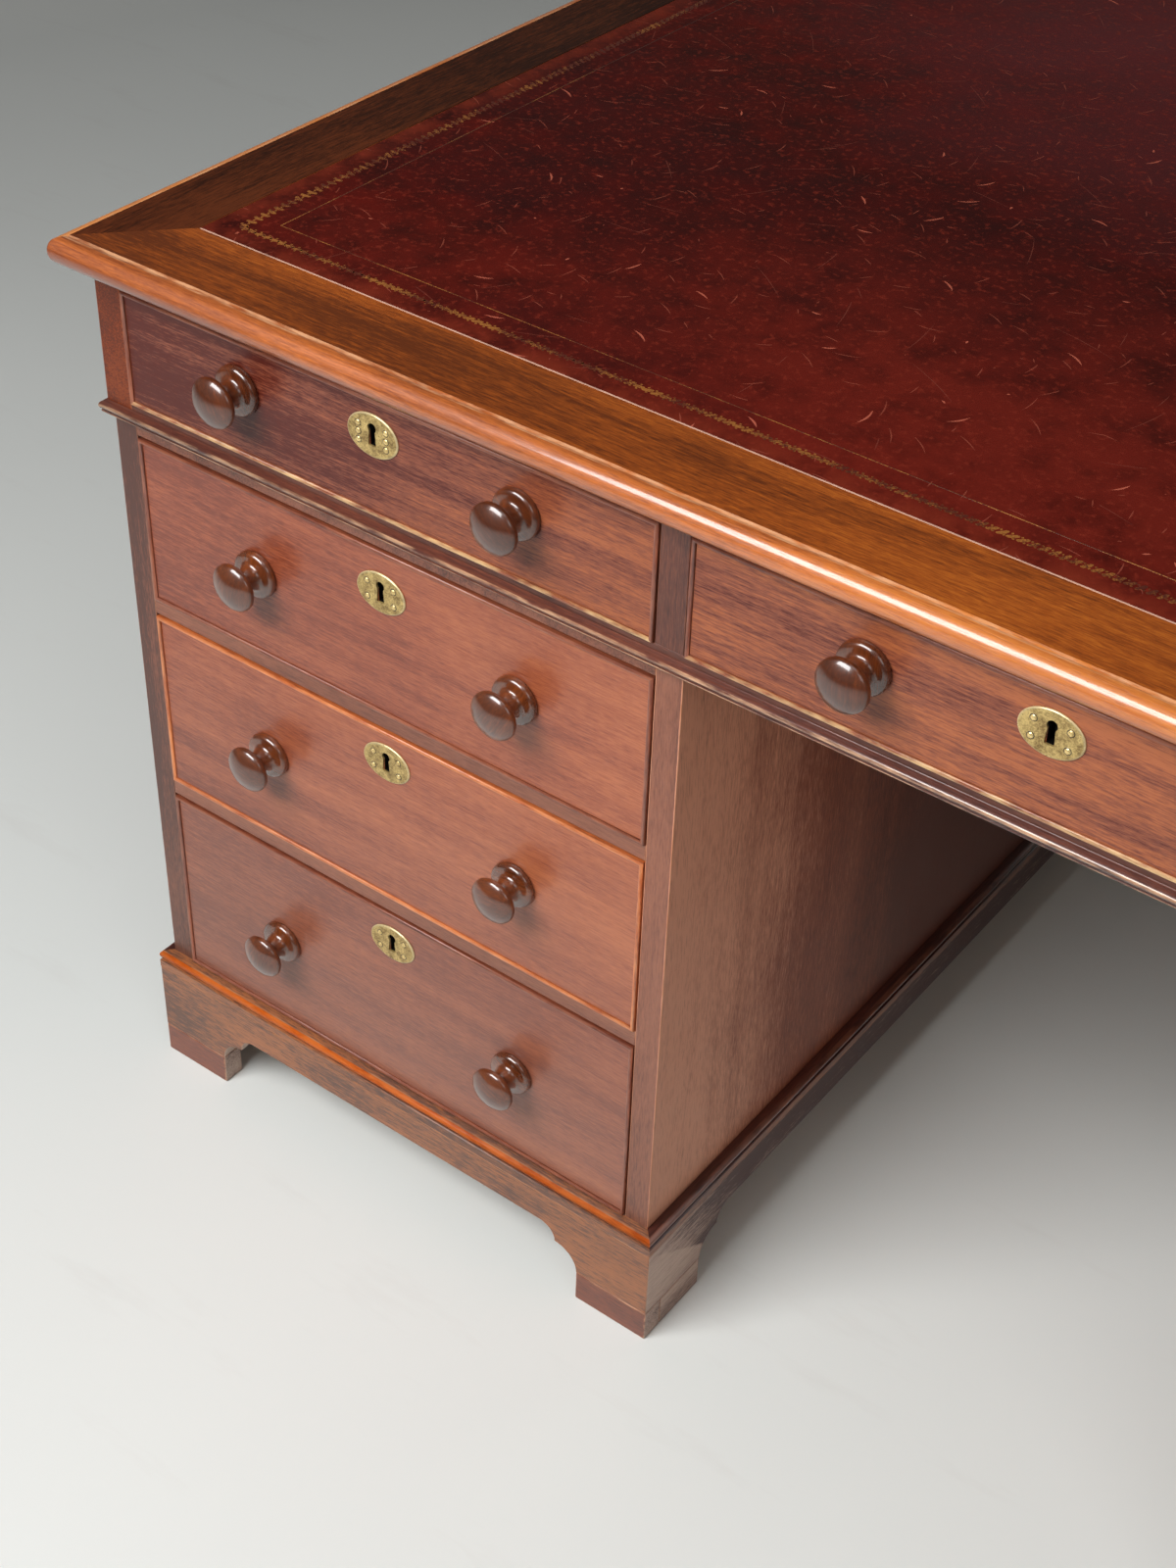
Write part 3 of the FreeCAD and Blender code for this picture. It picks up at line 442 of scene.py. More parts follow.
def mitred_run(
    shape, section, half, middle=(0.0, 0.0), lay=Vector, rounding=0.0, index=(0, 0, 0, 0), worn=()
):
    """Runs a closed section round a rectangle, mitred at the corners, with the grain along each side. A
    point of the section is how far out it lies on the ends and on the long sides, and its height."""
    grain = shape.loops.layers.float_vector["grain"]
    arris = shape.loops.layers.float["arris"]
    draw = random.Random(len(shape.faces))
    shifts = [Vector(draw.uniform(0, 3) for _ in range(3)) for _ in range(4)]
    rings = []
    for corner, (su, sv) in enumerate(CORNERS):
        for turn in (0, 15, 30, 45, 60, 75, 90) if rounding else (45,):
            angle = math.radians(90 * corner + turn)
            ring = []
            for out_u, out_v, height in section:
                u, v = su * (half[0] - rounding), sv * (half[1] - rounding)
                if rounding and rounding + out_v > 0:
                    u += (rounding + out_u) * math.cos(angle)
                    v += (rounding + out_v) * math.sin(angle)
                else:
                    u += su * (rounding + out_u)
                    v += sv * (rounding + out_v)
                ring.append((u, v, height))
            rings.append((ring, (corner + (turn >= 45)) % 4))
    verts = []
    for ring, _ in rings:
        verts.append([shape.verts.new(lay((middle[0] + u, middle[1] + v, h))) for u, v, h in ring])
    made = []
    rounded_below = 0.003
    for place, (ring, side) in enumerate(rings):
        after = (place + 1) % len(rings)
        for step in range(len(section)):
            follow = (step + 1) % len(section)
            corners = ((place, step), (place, follow), (after, follow), (after, step))
            face = shape.faces.new([verts[row][column] for row, column in corners])
            face.material_index = index[side]
            span = math.dist(section[step], section[follow])
            face.smooth = span < rounded_below
            for loop, (row, column) in zip(face.loops, corners):
                u, v, height = rings[row][0][column]
                loop[grain] = Vector((v, u, height) if side % 2 == 0 else (u, v, height)) + shifts[side]
                loop[arris] = 1.0 if step in worn else 0.0
            made.append(face)
    bmesh.ops.recalc_face_normals(shape, faces=made)
    return made


def round_part(middle_out, middle_height, radius, start, end, count):
    """Points of an arc of a section, in millimetres. Angles are in degrees, 0 is outwards and 90 is up."""
    angles = [math.radians(start + (end - start) * step / count) for step in range(count + 1)]
    return [(middle_out + radius * math.cos(a), middle_height + radius * math.sin(a)) for a in angles]


def section_of(points):
    """A section given in millimetres, the same on the ends and on the long sides."""
    return [(out / 1000, out / 1000, height / 1000) for out, height in points]


torus_front_wood = wood(
    "front plinth moulding mahogany", (206, 100, 26), (186, 82, 18), (108, 42, 14), (206, 116, 56),
    coat=0.03, coat_rough=0.16, specular=0.1, Streak=0.45, Figure=0.3, Wear=0.5, Rough=0.34,
)
dark_moulding_wood = wood(
    "dark moulding mahogany", (92, 44, 34), (70, 32, 26), (42, 18, 15), (150, 92, 66),
    coat=0.8, coat_rough=0.14, Figure=0.4, Wear=0.35, Rough=0.36,
)
foot_of_torus = [(0, 98), (9.45, 98), (9.45, 105.2), (8.7, 105.6), (8.7, 106.2)]
torus = foot_of_torus + round_part(4.6, 110.8, 4.8, -66, 84, 12) + [(4.6, 115.6), (3.0, 116), (0, 116)]
flat_top, quirk_top, crown = 0.1053, 0.1066, 0.1148
dark_but_in_front = (1, 1, 1, 0)
timber = blank()
for side, middle_x in PEDESTALS:
    section = section_of(torus)
    half = (0.248, 0.517)
    made = mitred_run(timber, section, half, (middle_x, 0.0), index=dark_but_in_front, worn=range(6, 16))
    for face in made:
        heights = [corner.co.z for corner in face.verts]
        if max(heights) < flat_top:
            face.material_index = 2
        elif max(heights) < quirk_top or min(heights) > crown:
            face.material_index = face.material_index or 2
woods = [torus_front_wood, dark_moulding_wood, plinth_wood]
finished("plinth_torus", timber, woods, "case", "moulding_mahogany", "plinth_mouldings")

# ---- Pedestals ----
# Each pedestal has two upright boards, whose front edges show as narrow stiles, and rails between its
# drawers. They are solid mahogany. Their inner sides carry painted light and shade: pale towards the
# kneehole in front, where light falls in, and darkest near the middle, in painted shadow.

stile_wood = wood(
    "stile mahogany", (146, 88, 64), (126, 72, 51), (76, 40, 30), (180, 124, 92),
    coat=0.25, coat_rough=0.24, Streak=0.7, Figure=0.45, Bloom=0.1, Rough=0.42,
)
side_wood = wood(
    "pedestal side mahogany", (226, 160, 128), (150, 80, 52), (92, 38, 22), (196, 126, 86),
    coat=0.05, coat_rough=0.24, specular=0.2, Streak=0.25, Figure=0.3, Stain=0.25, Bloom=0.18,
)
# Painted light and shade on the inner sides: the tone at the depth of the deepest painted shadow, and
# its rise in a metre from there to the front and to the back.
painted_shadow_depth, darkest, painted_light_rise_to_front, painted_light_rise_to_back = -0.12, -1.4, 8.3, 1.1
for side, middle_x in PEDESTALS:
    timber = blank()
    add_boards(timber, side + "_pedestal_sides", 0.0007, along=2)
    cut_across(timber, painted_shadow_depth)
    tone = timber.loops.layers.float["tone"]
    for face in timber.faces:
        fore = abs(face.normal.y) > 0.6 and face.calc_area() > 0.0005
        outer = abs(face.calc_center_median().x) > 0.7
        face.material_index = 1 if fore or outer else 0
        for loop in face.loops:
            behind = loop.vert.co.y - painted_shadow_depth
            if fore:
                loop[tone] += 2.4 * (loop.vert.co.x - middle_x)
            elif not outer:
                # Painted shadow deep in the kneehole, and painted light towards the front.
                loop[tone] += darkest + (-painted_light_rise_to_front if behind < 0.0 else painted_light_rise_to_back) * behind
    woods = [side_wood, stile_wood]
    finished(side + "_upright_boards", timber, woods, "case", "case_mahogany", side + "_pedestal_sides")
    timber = blank()
    add_boards(timber, side + "_pedestal_boards", 0.0006)
    for face in timber.faces:
        face.material_index = 1 if abs(face.calc_center_median().y) > 0.516 else 0
    woods = [oak, stile_wood]
    finished(side + "_tops_and_bottoms", timber, woods, "case", "carcass_oak", side + "_pedestal_boards")
plain_boards("pedestal_cross_rails", "pedestal_rails", 0.0006, stile_wood, "case_mahogany", tone=0.7)

# ---- Frieze ----
# The frame under the top: rails along the front and back, figured boards across the ends, and short
# uprights between the three drawers of each side.

end_wood = wood(
    "frieze end mahogany", (130, 58, 20), (102, 40, 14), (76, 31, 16), (176, 104, 66),
    coat=0.2, specular=0.2, Streak=0.7, Figure=0.8, Rough=0.38,
)
frieze_rail_wood = wood(
    "frieze rail mahogany", (116, 64, 46), (90, 48, 36), (60, 30, 24), (160, 104, 78),
    coat=0.3, coat_rough=0.24, specular=0.35, Streak=0.7, Figure=0.45, Stain=0.35, Rough=0.42,
)
plain_boards("frieze_end_boards", "frieze_end_panels", 0.0008, end_wood, "case_mahogany", along=1)
for node in ("frieze_rails", "frieze_partitions"):
    plain_boards(node + "_timber", node, 0.0006, frieze_rail_wood, "case_mahogany")

# ---- Waist moulding ----
# A bead over a fillet runs round the foot of the frieze and hides the joint with the pedestals. Two
# bright lines, on the front of its bead and on its lower fillet, are painted highlights in patches of its
# worn colour.

waist_wood = wood(
    "waist moulding mahogany", (118, 64, 46), (90, 46, 36), (52, 24, 20), (218, 170, 130),
    coat=0.8, coat_rough=0.13, Figure=0.4, Stain=0.35, Wear=0.75, Rough=0.36,
)
waist = [(0, 637), (3.0, 637), (3.6, 637.5), (3.6, 638.3), (3.2, 638.8)]
waist += round_part(1.2, 642.2, 3.7, -56, 90, 10) + [(0.4, 645.9), (0.4, 647), (0, 647)]
timber = blank()
# Painted highlights: steps 2 and 8 to 10 of the section take the pale worn colour.
mitred_run(timber, section_of(waist), (0.746, 0.520), worn=(2, 8, 9, 10))
finished("waist_bead", timber, [waist_wood], "case", "moulding_mahogany", "waist_moulding")

# ---- Drawers ----
# A drawer is an oak box behind a mahogany front, with a half-round cockbead let in round the front's
# edge. The frieze drawers are veneered with flecked, figured wood, those below with plainer red wood.

frieze_front_wood = wood(
    "frieze drawer mahogany", (170, 96, 58), (127, 68, 49), (78, 22, 12), (186, 112, 74),
    coat=0.2, specular=0.3, Streak=1.0, Stain=0.35, Wear=0.5, Rough=0.38,
)
pedestal_front_wood = wood(
    "pedestal drawer mahogany", (178, 100, 62), (152, 78, 49), (114, 50, 32), (190, 118, 82),
    coat=0.45, specular=0.45, Streak=0.65, Figure=0.45, Pores=0.35, Stain=0.25, Wear=0.5, Bloom=0.3,
)
# The pale cockbead's worn colour is partly rubbed wood and partly a painted highlight along its crown.
bead_wood, rubbed_bead_wood, pale_bead_wood_painted_highlight = (
    wood(state + "cockbead mahogany", *colours, coat_rough=rough, Wear=wear, Rough=0.38)
    for state, rough, wear, colours in (
        ("", 0.18, 0.35, ((146, 80, 54), (122, 62, 42), (82, 38, 28), (178, 108, 76))),
        ("rubbed ", 0.18, 0.6, ((204, 116, 62), (184, 96, 50), (122, 58, 34), (226, 146, 92))),
        ("pale ", 0.16, 0.8, ((190, 120, 76), (150, 82, 52), (90, 44, 30), (226, 188, 132))),
    )
)
# Painted shade: inside the lock's hole the front is near black, for the dark of a deep keyhole.
grime_and_painted_shade = wood(
    "keyhole painted shade", (16, 11, 9), (12, 8, 7), (8, 6, 5), (30, 20, 16),
    coat=0.0, specular=0.1, Streak=1.0, Pores=0.5, Wear=0.5, Rough=0.8,
)
# Each drawer's name, the way it faces, its middle, its knobs' and lock's heights, its knobs' spacing.
pedestal_rows = (("upper", 0.555, 0.589), ("middle", 0.392, 0.442), ("lower", 0.202, 0.266))
drawers = [
    (f"frieze_{row}_{place}_drawer", way, middle_x, 0.703, 0.713, 0.238 if middle_x else 0.241)
    for row, way in (("front", -1), ("rear", 1))
    for place, middle_x in (PEDESTALS[0], ("centre", 0.0), PEDESTALS[1])
]
drawers += [
    (f"{side}_{level}_drawer", -1, middle_x, knob_height, lock_height, 0.234)
    for side, middle_x in PEDESTALS
    for level, knob_height, lock_height in pedestal_rows
]
# The tone of a front and how much it rises in a metre, for one drawer or for one row of them.
tones = {"frieze_front_left_drawer": (-0.35, 4.2), "front": (0.15, 0.4), "rear": (0.15, 0.4)}
tones.update({"upper": (0.15, 3.0), "middle": (0.25, 2.4), "lower": (-0.45, 1.1)})


def face_of(name):
    """How far the face of a drawer's row is from the middle of the desk."""
    return 0.520 if "frieze" in name else 0.517


def facing(way, middle_x, reach, height):
    """Where a front lies, for either row: u runs across it, v up, and the third number out of it."""
    return lambda place: Vector((middle_x - way * place[0], way * (reach + place[2]), height + place[1]))


for name, way, middle_x, knob_height, lock_height, spacing in drawers:
    timber = blank()
    row = name.split("_")[1]
    tone, fade = tones.get(name, tones[row])
    add_boards(timber, name, 0.0006, kinds=(0, 1, 1, 1, 1), tone=tone, fade=fade, shortest=0.02)
    # Faces lining the lock's hole in the front take the keyhole's painted shade.
    low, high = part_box(name + "_lock")
    for face in timber.faces:
        place = face.calc_center_median()
        in_lock = low.x < place.x < high.x and low.z < place.z < high.z
        if in_lock and face.material_index == 0 and abs(face.normal.y) < 0.5:
            face.material_index = 5
    low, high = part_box(name)
    half = ((high.x - low.x) / 2, (high.z - low.z) / 2)
    bead = [(0, -8), (0, 0.4)] + round_part(-1.5, 0.5, 1.5, 0, 180, 8) + [(-3, 0.4), (-3, -8)]
    lay = facing(way, middle_x, face_of(name), (low.z + high.z) / 2)
    # Frieze drawers take the pale cockbead along their bottom edge: wear, and a painted highlight on its
    # crown.
    sides = (3, 3, 3, 3) if row == "middle" else (2, 2, 2, 4) if "frieze" in name else (2, 2, 2, 2)
    mitred_run(timber, section_of(bead), half, lay=lay, index=sides, worn=range(1, 11))
    front_wood = frieze_front_wood if "frieze" in name else pedestal_front_wood
    woods = [front_wood, oak, bead_wood, rubbed_bead_wood, pale_bead_wood_painted_highlight, grime_and_painted_shade]
    finished(name + "_joinery", timber, woods, name, "drawer_mahogany", name)

# ---- Knobs ----
# Each knob is turned from one piece of mahogany, brown with handling and darkest on the frieze: a broad
# ring at its foot, a bead, a waisted neck and a domed head. A tree of nodes sets the pair on a drawer.

dark_knob_wood, knob_wood = (
    wood(
        state + " knob mahogany", *colours, (168, 104, 70), coat=1.0, coat_rough=0.1, coat_ior=coat_ior,
        bump=0.1, Streak=0.7, Figure=0.2, Pores=0.2, Stain=0.4, Wear=0.5, Rough=0.26,
    )
    for state, coat_ior, colours in (
        ("dark", 1.53, ((130, 63, 24), (86, 39, 16), (44, 18, 10))),
        ("handled", 1.6, ((150, 75, 28), (98, 46, 18), (52, 22, 11))),
    )
)
turning = [(17.4, 0), (18.3, 0.7), (18.5, 2), (18.3, 3.6), (17.6, 5), (16.4, 5.9), (14.8, 6.3), (12.6, 6.6)]
turning += [(11.1, 7.1), (10.2, 7.9), (9.5, 9.2), (8.9, 10.9), (8.5, 12.8), (8.4, 14.4), (8.7, 15.9)]
turning += [(9.6, 17.4), (11.2, 18.9), (13.4, 20.3), (15.7, 21.3), (17.5, 22.2), (18.4, 23.2), (18.5, 24.4)]
turning += [(18.4, 25.3), (18.0, 26.3), (17.2, 27.2), (15.6, 28.4), (13.2, 29.8), (10.4, 31.0), (7.4, 32.0)]
turning += [(4, 32.7)]
turning = [(radius / 1000, height / 1000) for radius, height in turning]


def band(shape, lower, upper):
    """Joins two closed rows of points by a ring of faces."""
    corners = zip(lower, lower[1:] + lower[:1], upper[1:] + upper[:1], upper)
    return [shape.faces.new(four) for four in corners]


def turned(profile, segments, lay):
    """A closed turning: its profile is radius and height, and lay places its points."""
    shape = blank()
    grain = shape.loops.layers.float_vector["grain"]
    angles = [math.tau * step / segments for step in range(segments)]
    rows = [
        [shape.verts.new(lay((radius * math.cos(a), radius * math.sin(a), height))) for a in angles]
        for radius, height in profile
    ]
    for lower, upper in zip(rows, rows[1:]):
        band(shape, lower, upper)
    crown_rise = profile[-1][0] / 16
    for row, height in ((rows[0], profile[0][1]), (rows[-1], profile[-1][1] + crown_rise)):
        end = shape.verts.new(lay((0, 0, height)))
        for corner, follow in zip(row, row[1:] + row[:1]):
            shape.faces.new((corner, follow, end))
    for face in shape.faces:
        face.smooth = True
        for loop in face.loops:
            loop[grain] = loop.vert.co
    bmesh.ops.recalc_face_normals(shape, faces=list(shape.faces))
    return shape


def node_tree(name, sizes):
    """A Geometry Nodes tree with a mesh in and out, and the named sizes as its inputs."""
    tree = bpy.data.node_groups.new(name, "GeometryNodeTree")
    tree.interface.new_socket(name="Geometry", in_out="INPUT", socket_type="NodeSocketGeometry")
    for label, value in sizes.items():
        kind = "Int" if isinstance(value, int) else "Vector" if isinstance(value, tuple) else "Float"
        socket = tree.interface.new_socket(name=label, in_out="INPUT", socket_type="NodeSocket" + kind)
        socket.default_value = value
    tree.interface.new_socket(name="Material", in_out="INPUT", socket_type="NodeSocketMaterial")
    tree.interface.new_socket(name="Geometry", in_out="OUTPUT", socket_type="NodeSocketGeometry")
    return tree, tree.nodes.new("NodeGroupInput").outputs, tree.nodes.new("NodeGroupOutput").inputs


def set_out(tree, given, result, points, turn):
    """Ends a tree: sets its mesh on points, turned, as one mesh in its material."""
    inputs = {"Points": points, "Instance": given["Geometry"], "Rotation": turn}
    copies = fed(tree, "GeometryNodeInstanceOnPoints", inputs)
    copies = fed(tree, "GeometryNodeRealizeInstances", {0: copies})
    inputs = {"Geometry": copies, "Material": given["Material"]}
    tree.links.new(fed(tree, "GeometryNodeSetMaterial", inputs), result["Geometry"])


def grown(tree, shape, material, **sizes):
    """The plain mesh that a tree makes of a shape, with its inputs set by name."""
    mesh = bpy.data.meshes.new(tree.name)
    shape.to_mesh(mesh)
    maker = placed(tree.name, mesh)
    steps = maker.modifiers.new(tree.name, "NODES")
    steps.node_group = tree
    sockets = {item.name: item.identifier for item in tree.interface.items_tree if item.in_out == "INPUT"}
    for label, value in {**sizes, "Material": material}.items():
        steps[sockets[label]] = value
    bpy.context.view_layer.update()
    ready = maker.evaluated_get(bpy.context.evaluated_depsgraph_get())
    result = bpy.data.meshes.new_from_object(ready)
    bpy.data.objects.remove(maker)
    bpy.data.meshes.remove(mesh)
    return result


def knob_pair_tree():
    sizes = {"Spacing": 0.234, "Place": (0.0, 0.0, 0.0), "Turn": 0.0, "Seed": 1}
    tree, given, result = node_tree("knob pair", sizes)
    offset = fed(tree, "ShaderNodeCombineXYZ", {0: times(tree, given["Spacing"], 0.5)})
    start = of_vectors(tree, "SUBTRACT", given["Place"], offset)[0]
    step = fed(tree, "ShaderNodeCombineXYZ", {0: given["Spacing"]})
    line = fed(tree, "GeometryNodeMeshLine", {"Count": 2, "Start Location": start, "Offset": step})
    points = fed(tree, "GeometryNodeMeshToPoints", {0: line})
    turns = {"Min": (0.0, 0.0, 0.0), "Max": (0.0, math.tau, 0.0), "Seed": given["Seed"]}
    spin = fed(tree, "FunctionNodeRandomValue", turns, data_type="FLOAT_VECTOR")
    turns = {"Rotation": spin, "Rotate By": fed(tree, "ShaderNodeCombineXYZ", {2: given["Turn"]})}
    turn = fed(tree, "FunctionNodeRotateRotation", turns, rotation_space="GLOBAL")
    set_out(tree, given, result, points, turn)
    return tree


knob_shape = turned(turning, 40, lambda place: Vector((place[0], -place[2], place[1])))
knob_pair = knob_pair_tree()
for seed, (name, way, middle_x, knob_height, lock_height, spacing) in enumerate(drawers):
    spot = (middle_x, way * face_of(name), knob_height)
    turn = 0.0 if way < 0 else math.pi
    finish = dark_knob_wood if "frieze" in name else knob_wood
    mesh = grown(knob_pair, knob_shape, finish, Spacing=spacing, Place=spot, Turn=turn, Seed=seed)
    knobs = placed(name + "_turned_knobs", mesh)
    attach(knobs, name)
    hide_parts(name + "_knobs")

# ---- Locks and escutcheons ----
# Every drawer has a lock let into the back of its front, and an oval brass escutcheon over the keyhole
# with a filed rim, held by four or six domed pins. The brass is dull, with brighter rims.


def aged_metal(name, bright, dull, grime_and_painted_shade, metallic, rough):
    """An old metal: bright where its arrises are rubbed, dull elsewhere, with dark patches of dirt."""
    material, tree = new_finish(name)
    place = place_in(tree)
    arris = marked(tree, "arris")
    broad = cloud(tree, place, 160.0, 3.0, 0.6)
    fine = cloud(tree, place, 900.0, 3.0, 0.6)
    grimy = between(tree, broad, 0.35, 0.65, 0.0, 0.75)
    grimy = plus(tree, grimy, between(tree, fine, 0.4, 0.6, -0.15, 0.35))
    colour = mixed(tree, grimy, shade(*dull), shade(*grime_and_painted_shade))
    colour = mixed(tree, times(tree, arris, 0.85), colour, shade(*bright))
    rougher = between(tree, broad, 0.3, 0.7, rough - 0.08, rough + 0.12)
    relief = put(tree, "ShaderNodeBump", {"Strength": 0.3, "Distance": 0.0002, "Height": fine})
    surface = {"Base Color": colour, "Metallic": metallic, "Roughness": rougher, "Normal": relief.outputs[0]}
    return end_finish(material, surface)


brass = aged_metal("aged brass", (250, 234, 184), (206, 178, 114), (124, 98, 56), 0.5, 0.34)
pin_brass_painted_highlight = aged_metal("rubbed pin brass with painted highlight", (255, 236, 176), (240, 212, 146), (190, 160, 100), 0.6, 0.28)
lock_iron_and_painted_pin_shade = aged_metal("lock case iron", (104, 98, 88), (70, 65, 58), (38, 35, 31), 0.3, 0.5)


def oval(inset, out):
    """One ring of the plate in millimetres: how far in from its rim it lies, and how far out."""
    count, half_width, half_height = 48, 21.5, 16
    angles = [math.tau * step / count for step in range(count)]
    return [((half_width - inset) * math.cos(a), (half_height - inset) * math.sin(a), out) for a in angles]


def escutcheon(lay):
    """An oval plate with a filed rim, and a keyhole whose slot widens towards its foot."""
    shape = blank()
    arris = shape.loops.layers.float["arris"]
    angles = [math.radians(degrees) for degrees in range(-135, 136, 15)]
    keyhole = [(3.6 * math.sin(a), 5.8 + 3.6 * math.cos(a)) for a in angles]
    keyhole += [(3.3, -6.6), (2.8, -7.4), (-2.8, -7.4), (-3.3, -6.6)]
    layers = [oval(0, 0), oval(0, 0.55), oval(0.3, 1.05), oval(0.9, 1.42), oval(1.5, 1.5)]
    rows = [[shape.verts.new(lay(Vector(point) / 1000)) for point in layer] for layer in layers]
    walls = [[shape.verts.new(lay(Vector((u, v, out)) / 1000)) for u, v in keyhole] for out in (1.5, 0.0)]
    for worn, lower, upper in zip((0.3, 1.0, 0.5, 0.1), rows, rows[1:]):
        for face in band(shape, lower, upper):
            face.smooth = True
            for loop in face.loops:
                loop[arris] = worn
    band(shape, *walls)
    for layer, row, wall in ((layers[-1], rows[-1], walls[0]), (layers[0], rows[0], walls[1])):
        outlines = [[Vector((point[0], point[1], 0)) for point in line] for line in (layer, keyhole)]
        for triangle in tessellate_polygon(outlines):
            shape.faces.new([(row + wall)[index] for index in triangle])
    bmesh.ops.recalc_face_normals(shape, faces=list(shape.faces))
    return shape


def pin_tree():
    sizes = {"Spread": 0.0234, "Rise": 0.0124, "Rows": 2, "Place": (0.0, 0.0, 0.0)}
    tree, given, result = node_tree("escutcheon pins", sizes)
    grid = {"Size X": given["Spread"], "Size Y": given["Rise"], "Vertices X": 2, "Vertices Y": given["Rows"]}
    grid = fed(tree, "GeometryNodeMeshGrid", grid)
    upright = {"Geometry": grid, "Rotation": (math.pi / 2, 0.0, 0.0), "Translation": given["Place"]}
    upright = fed(tree, "GeometryNodeTransform", upright)
    points = fed(tree, "GeometryNodeMeshToPoints", {0: upright})
    set_out(tree, given, result, points, (0.0, 0.0, 0.0))
    return tree


def pin_shape(way):
    """The head of a pin, domed inside a thin ring that is painted dark as the shade round its foot."""
    profile = [(2.6, -0.4), (2.6, 0.1), (2.1, 0.14), (1.9, 0.5), (1.4, 0.8), (0.8, 0.94)]
    profile = [(radius / 1000, height / 1000) for radius, height in profile]
    return turned(profile, 14, lambda place: Vector((place[0], way * place[2], place[1])))


escutcheon_pins = pin_tree()
plate_thickness = 0.0015


def add_escutcheon(shape, way, middle_x, height, reach, rows=2):
    """Adds an escutcheon and its pins to a mesh, on the front or rear face of the desk."""
    plate = escutcheon(facing(way, middle_x, reach, height))
    shape.from_mesh(mesh_of("plate", plate))
    spot = (middle_x, way * (reach + plate_thickness), height)
    pins = grown(escutcheon_pins, pin_shape(way), brass, Rows=rows, Place=spot)
    foot_of_dome = reach + plate_thickness + 0.0002
    # Painted shade: the ring round each pin's foot takes the dark iron; its dome takes the brighter pin
    # brass, rubbed and partly a painted highlight.
    for face in pins.polygons:
        face.material_index = 2 if way * face.center.y > foot_of_dome else 1
    shape.from_mesh(pins)


for name, way, middle_x, knob_height, lock_height, spacing in drawers:
    metalwork = blank()
    add_boards(metalwork, name + "_lock", 0.0004, kinds=(1,))
    rows = 3 if name == "frieze_front_left_drawer" else 2
    add_escutcheon(metalwork, way, middle_x, lock_height, face_of(name), rows)
    metals = [brass, lock_iron_and_painted_pin_shade, pin_brass_painted_highlight]
    finished(name + "_escutcheon", metalwork, metals, name, "brass", name + "_lock")

# ---- Cupboard doors ----
# On the other side of the desk each pedestal has a framed door: stiles and rails grooved for a plain
# panel, a knob like those of the drawers, a lock, and two brass butt hinges.

panel_wood = wood(
    "door panel mahogany", (170, 92, 58), (148, 72, 46), (104, 46, 32), (190, 118, 82),
    Streak=0.7, Figure=0.9, Pores=0.35, Wear=0.5,
)
for side, way in (("left", -1), ("right", 1)):
    door = side + "_door"
    timber = blank()
    add_boards(timber, door, 0.0008, kinds=(0, 0, 0, 0, 1), shortest=0.02)
    finished(door + "_joinery", timber, [pedestal_front_wood, panel_wood], door, "case_mahogany", door)
    x, y, knob_z, lock_z = way * 0.300, face_of(door), 0.4405, 0.3705
    knob = turned(turning, 40, lambda place: Vector((x + place[0], y + place[2], knob_z - place[1])))
    finished(door + "_knob", knob, [knob_wood], door, "knob_mahogany")
    metalwork = blank()
    add_boards(metalwork, door + "_fittings", 0.0003, kinds=(0, 0, 1))
    add_escutcheon(metalwork, 1, x, lock_z, y)
    metals = [brass, lock_iron_and_painted_pin_shade, pin_brass_painted_highlight]
    finished(door + "_metalwork", metalwork, metals, door, "brass", door + "_fittings")
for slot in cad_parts["door_hinge_leaves"].material_slots:
    slot.material = brass

# ---- Top boards ----
# The top is a core board with a wide mahogany border, mitred at its corners, golden on the long sides
# and brown on the ends. Its edge is a thick streaked nose, parted from the flat by a narrow quirk.

border_wood = wood(
    "top border mahogany", (190, 105, 36), (150, 74, 24), (92, 42, 15), (206, 140, 92),
    coat=0.2, specular=0.15, Figure=0.4, Pores=0.45, Wear=0.8,
)
nose_wood = wood(
    "top nose mahogany", (222, 136, 62), (196, 108, 48), (130, 62, 26), (232, 178, 132),
    coat=1.0, coat_rough=0.1, bump=0.6, Streak=0.7, Figure=0.25, Pores=0.4, Stain=0.35, Rough=0.36,
)
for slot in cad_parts["top_core_panel"].material_slots:
    slot.material = oak

# Half of the border's and of the leather's length and depth, and three widths in millimetres.
border_half = (0.768, 0.542)
opening_half = (0.697, 0.465)
nose, end_width, side_width = 10.3, 71, 77


def border_point(out, height):
    """A point of the border's section. The border is narrower on the ends than on the long sides."""
    end = out if out > -nose else -nose + (out + nose) * (end_width - nose) / (side_width - nose)
    return (end / 1000, out / 1000, height / 1000)


border = [(-side_width, 751.4)] + round_part(-nose, 761.7, nose, -90, 86, 18)
border += [(-11.1, 772.1), (-11.6, 771.2), (-12.3, 771.2), (-12.7, 772.5), (-13.3, 773.0), (-76.4, 773.0)]
section = [border_point(*point) for point in border + [(-side_width, 772.7)]]
timber = blank()
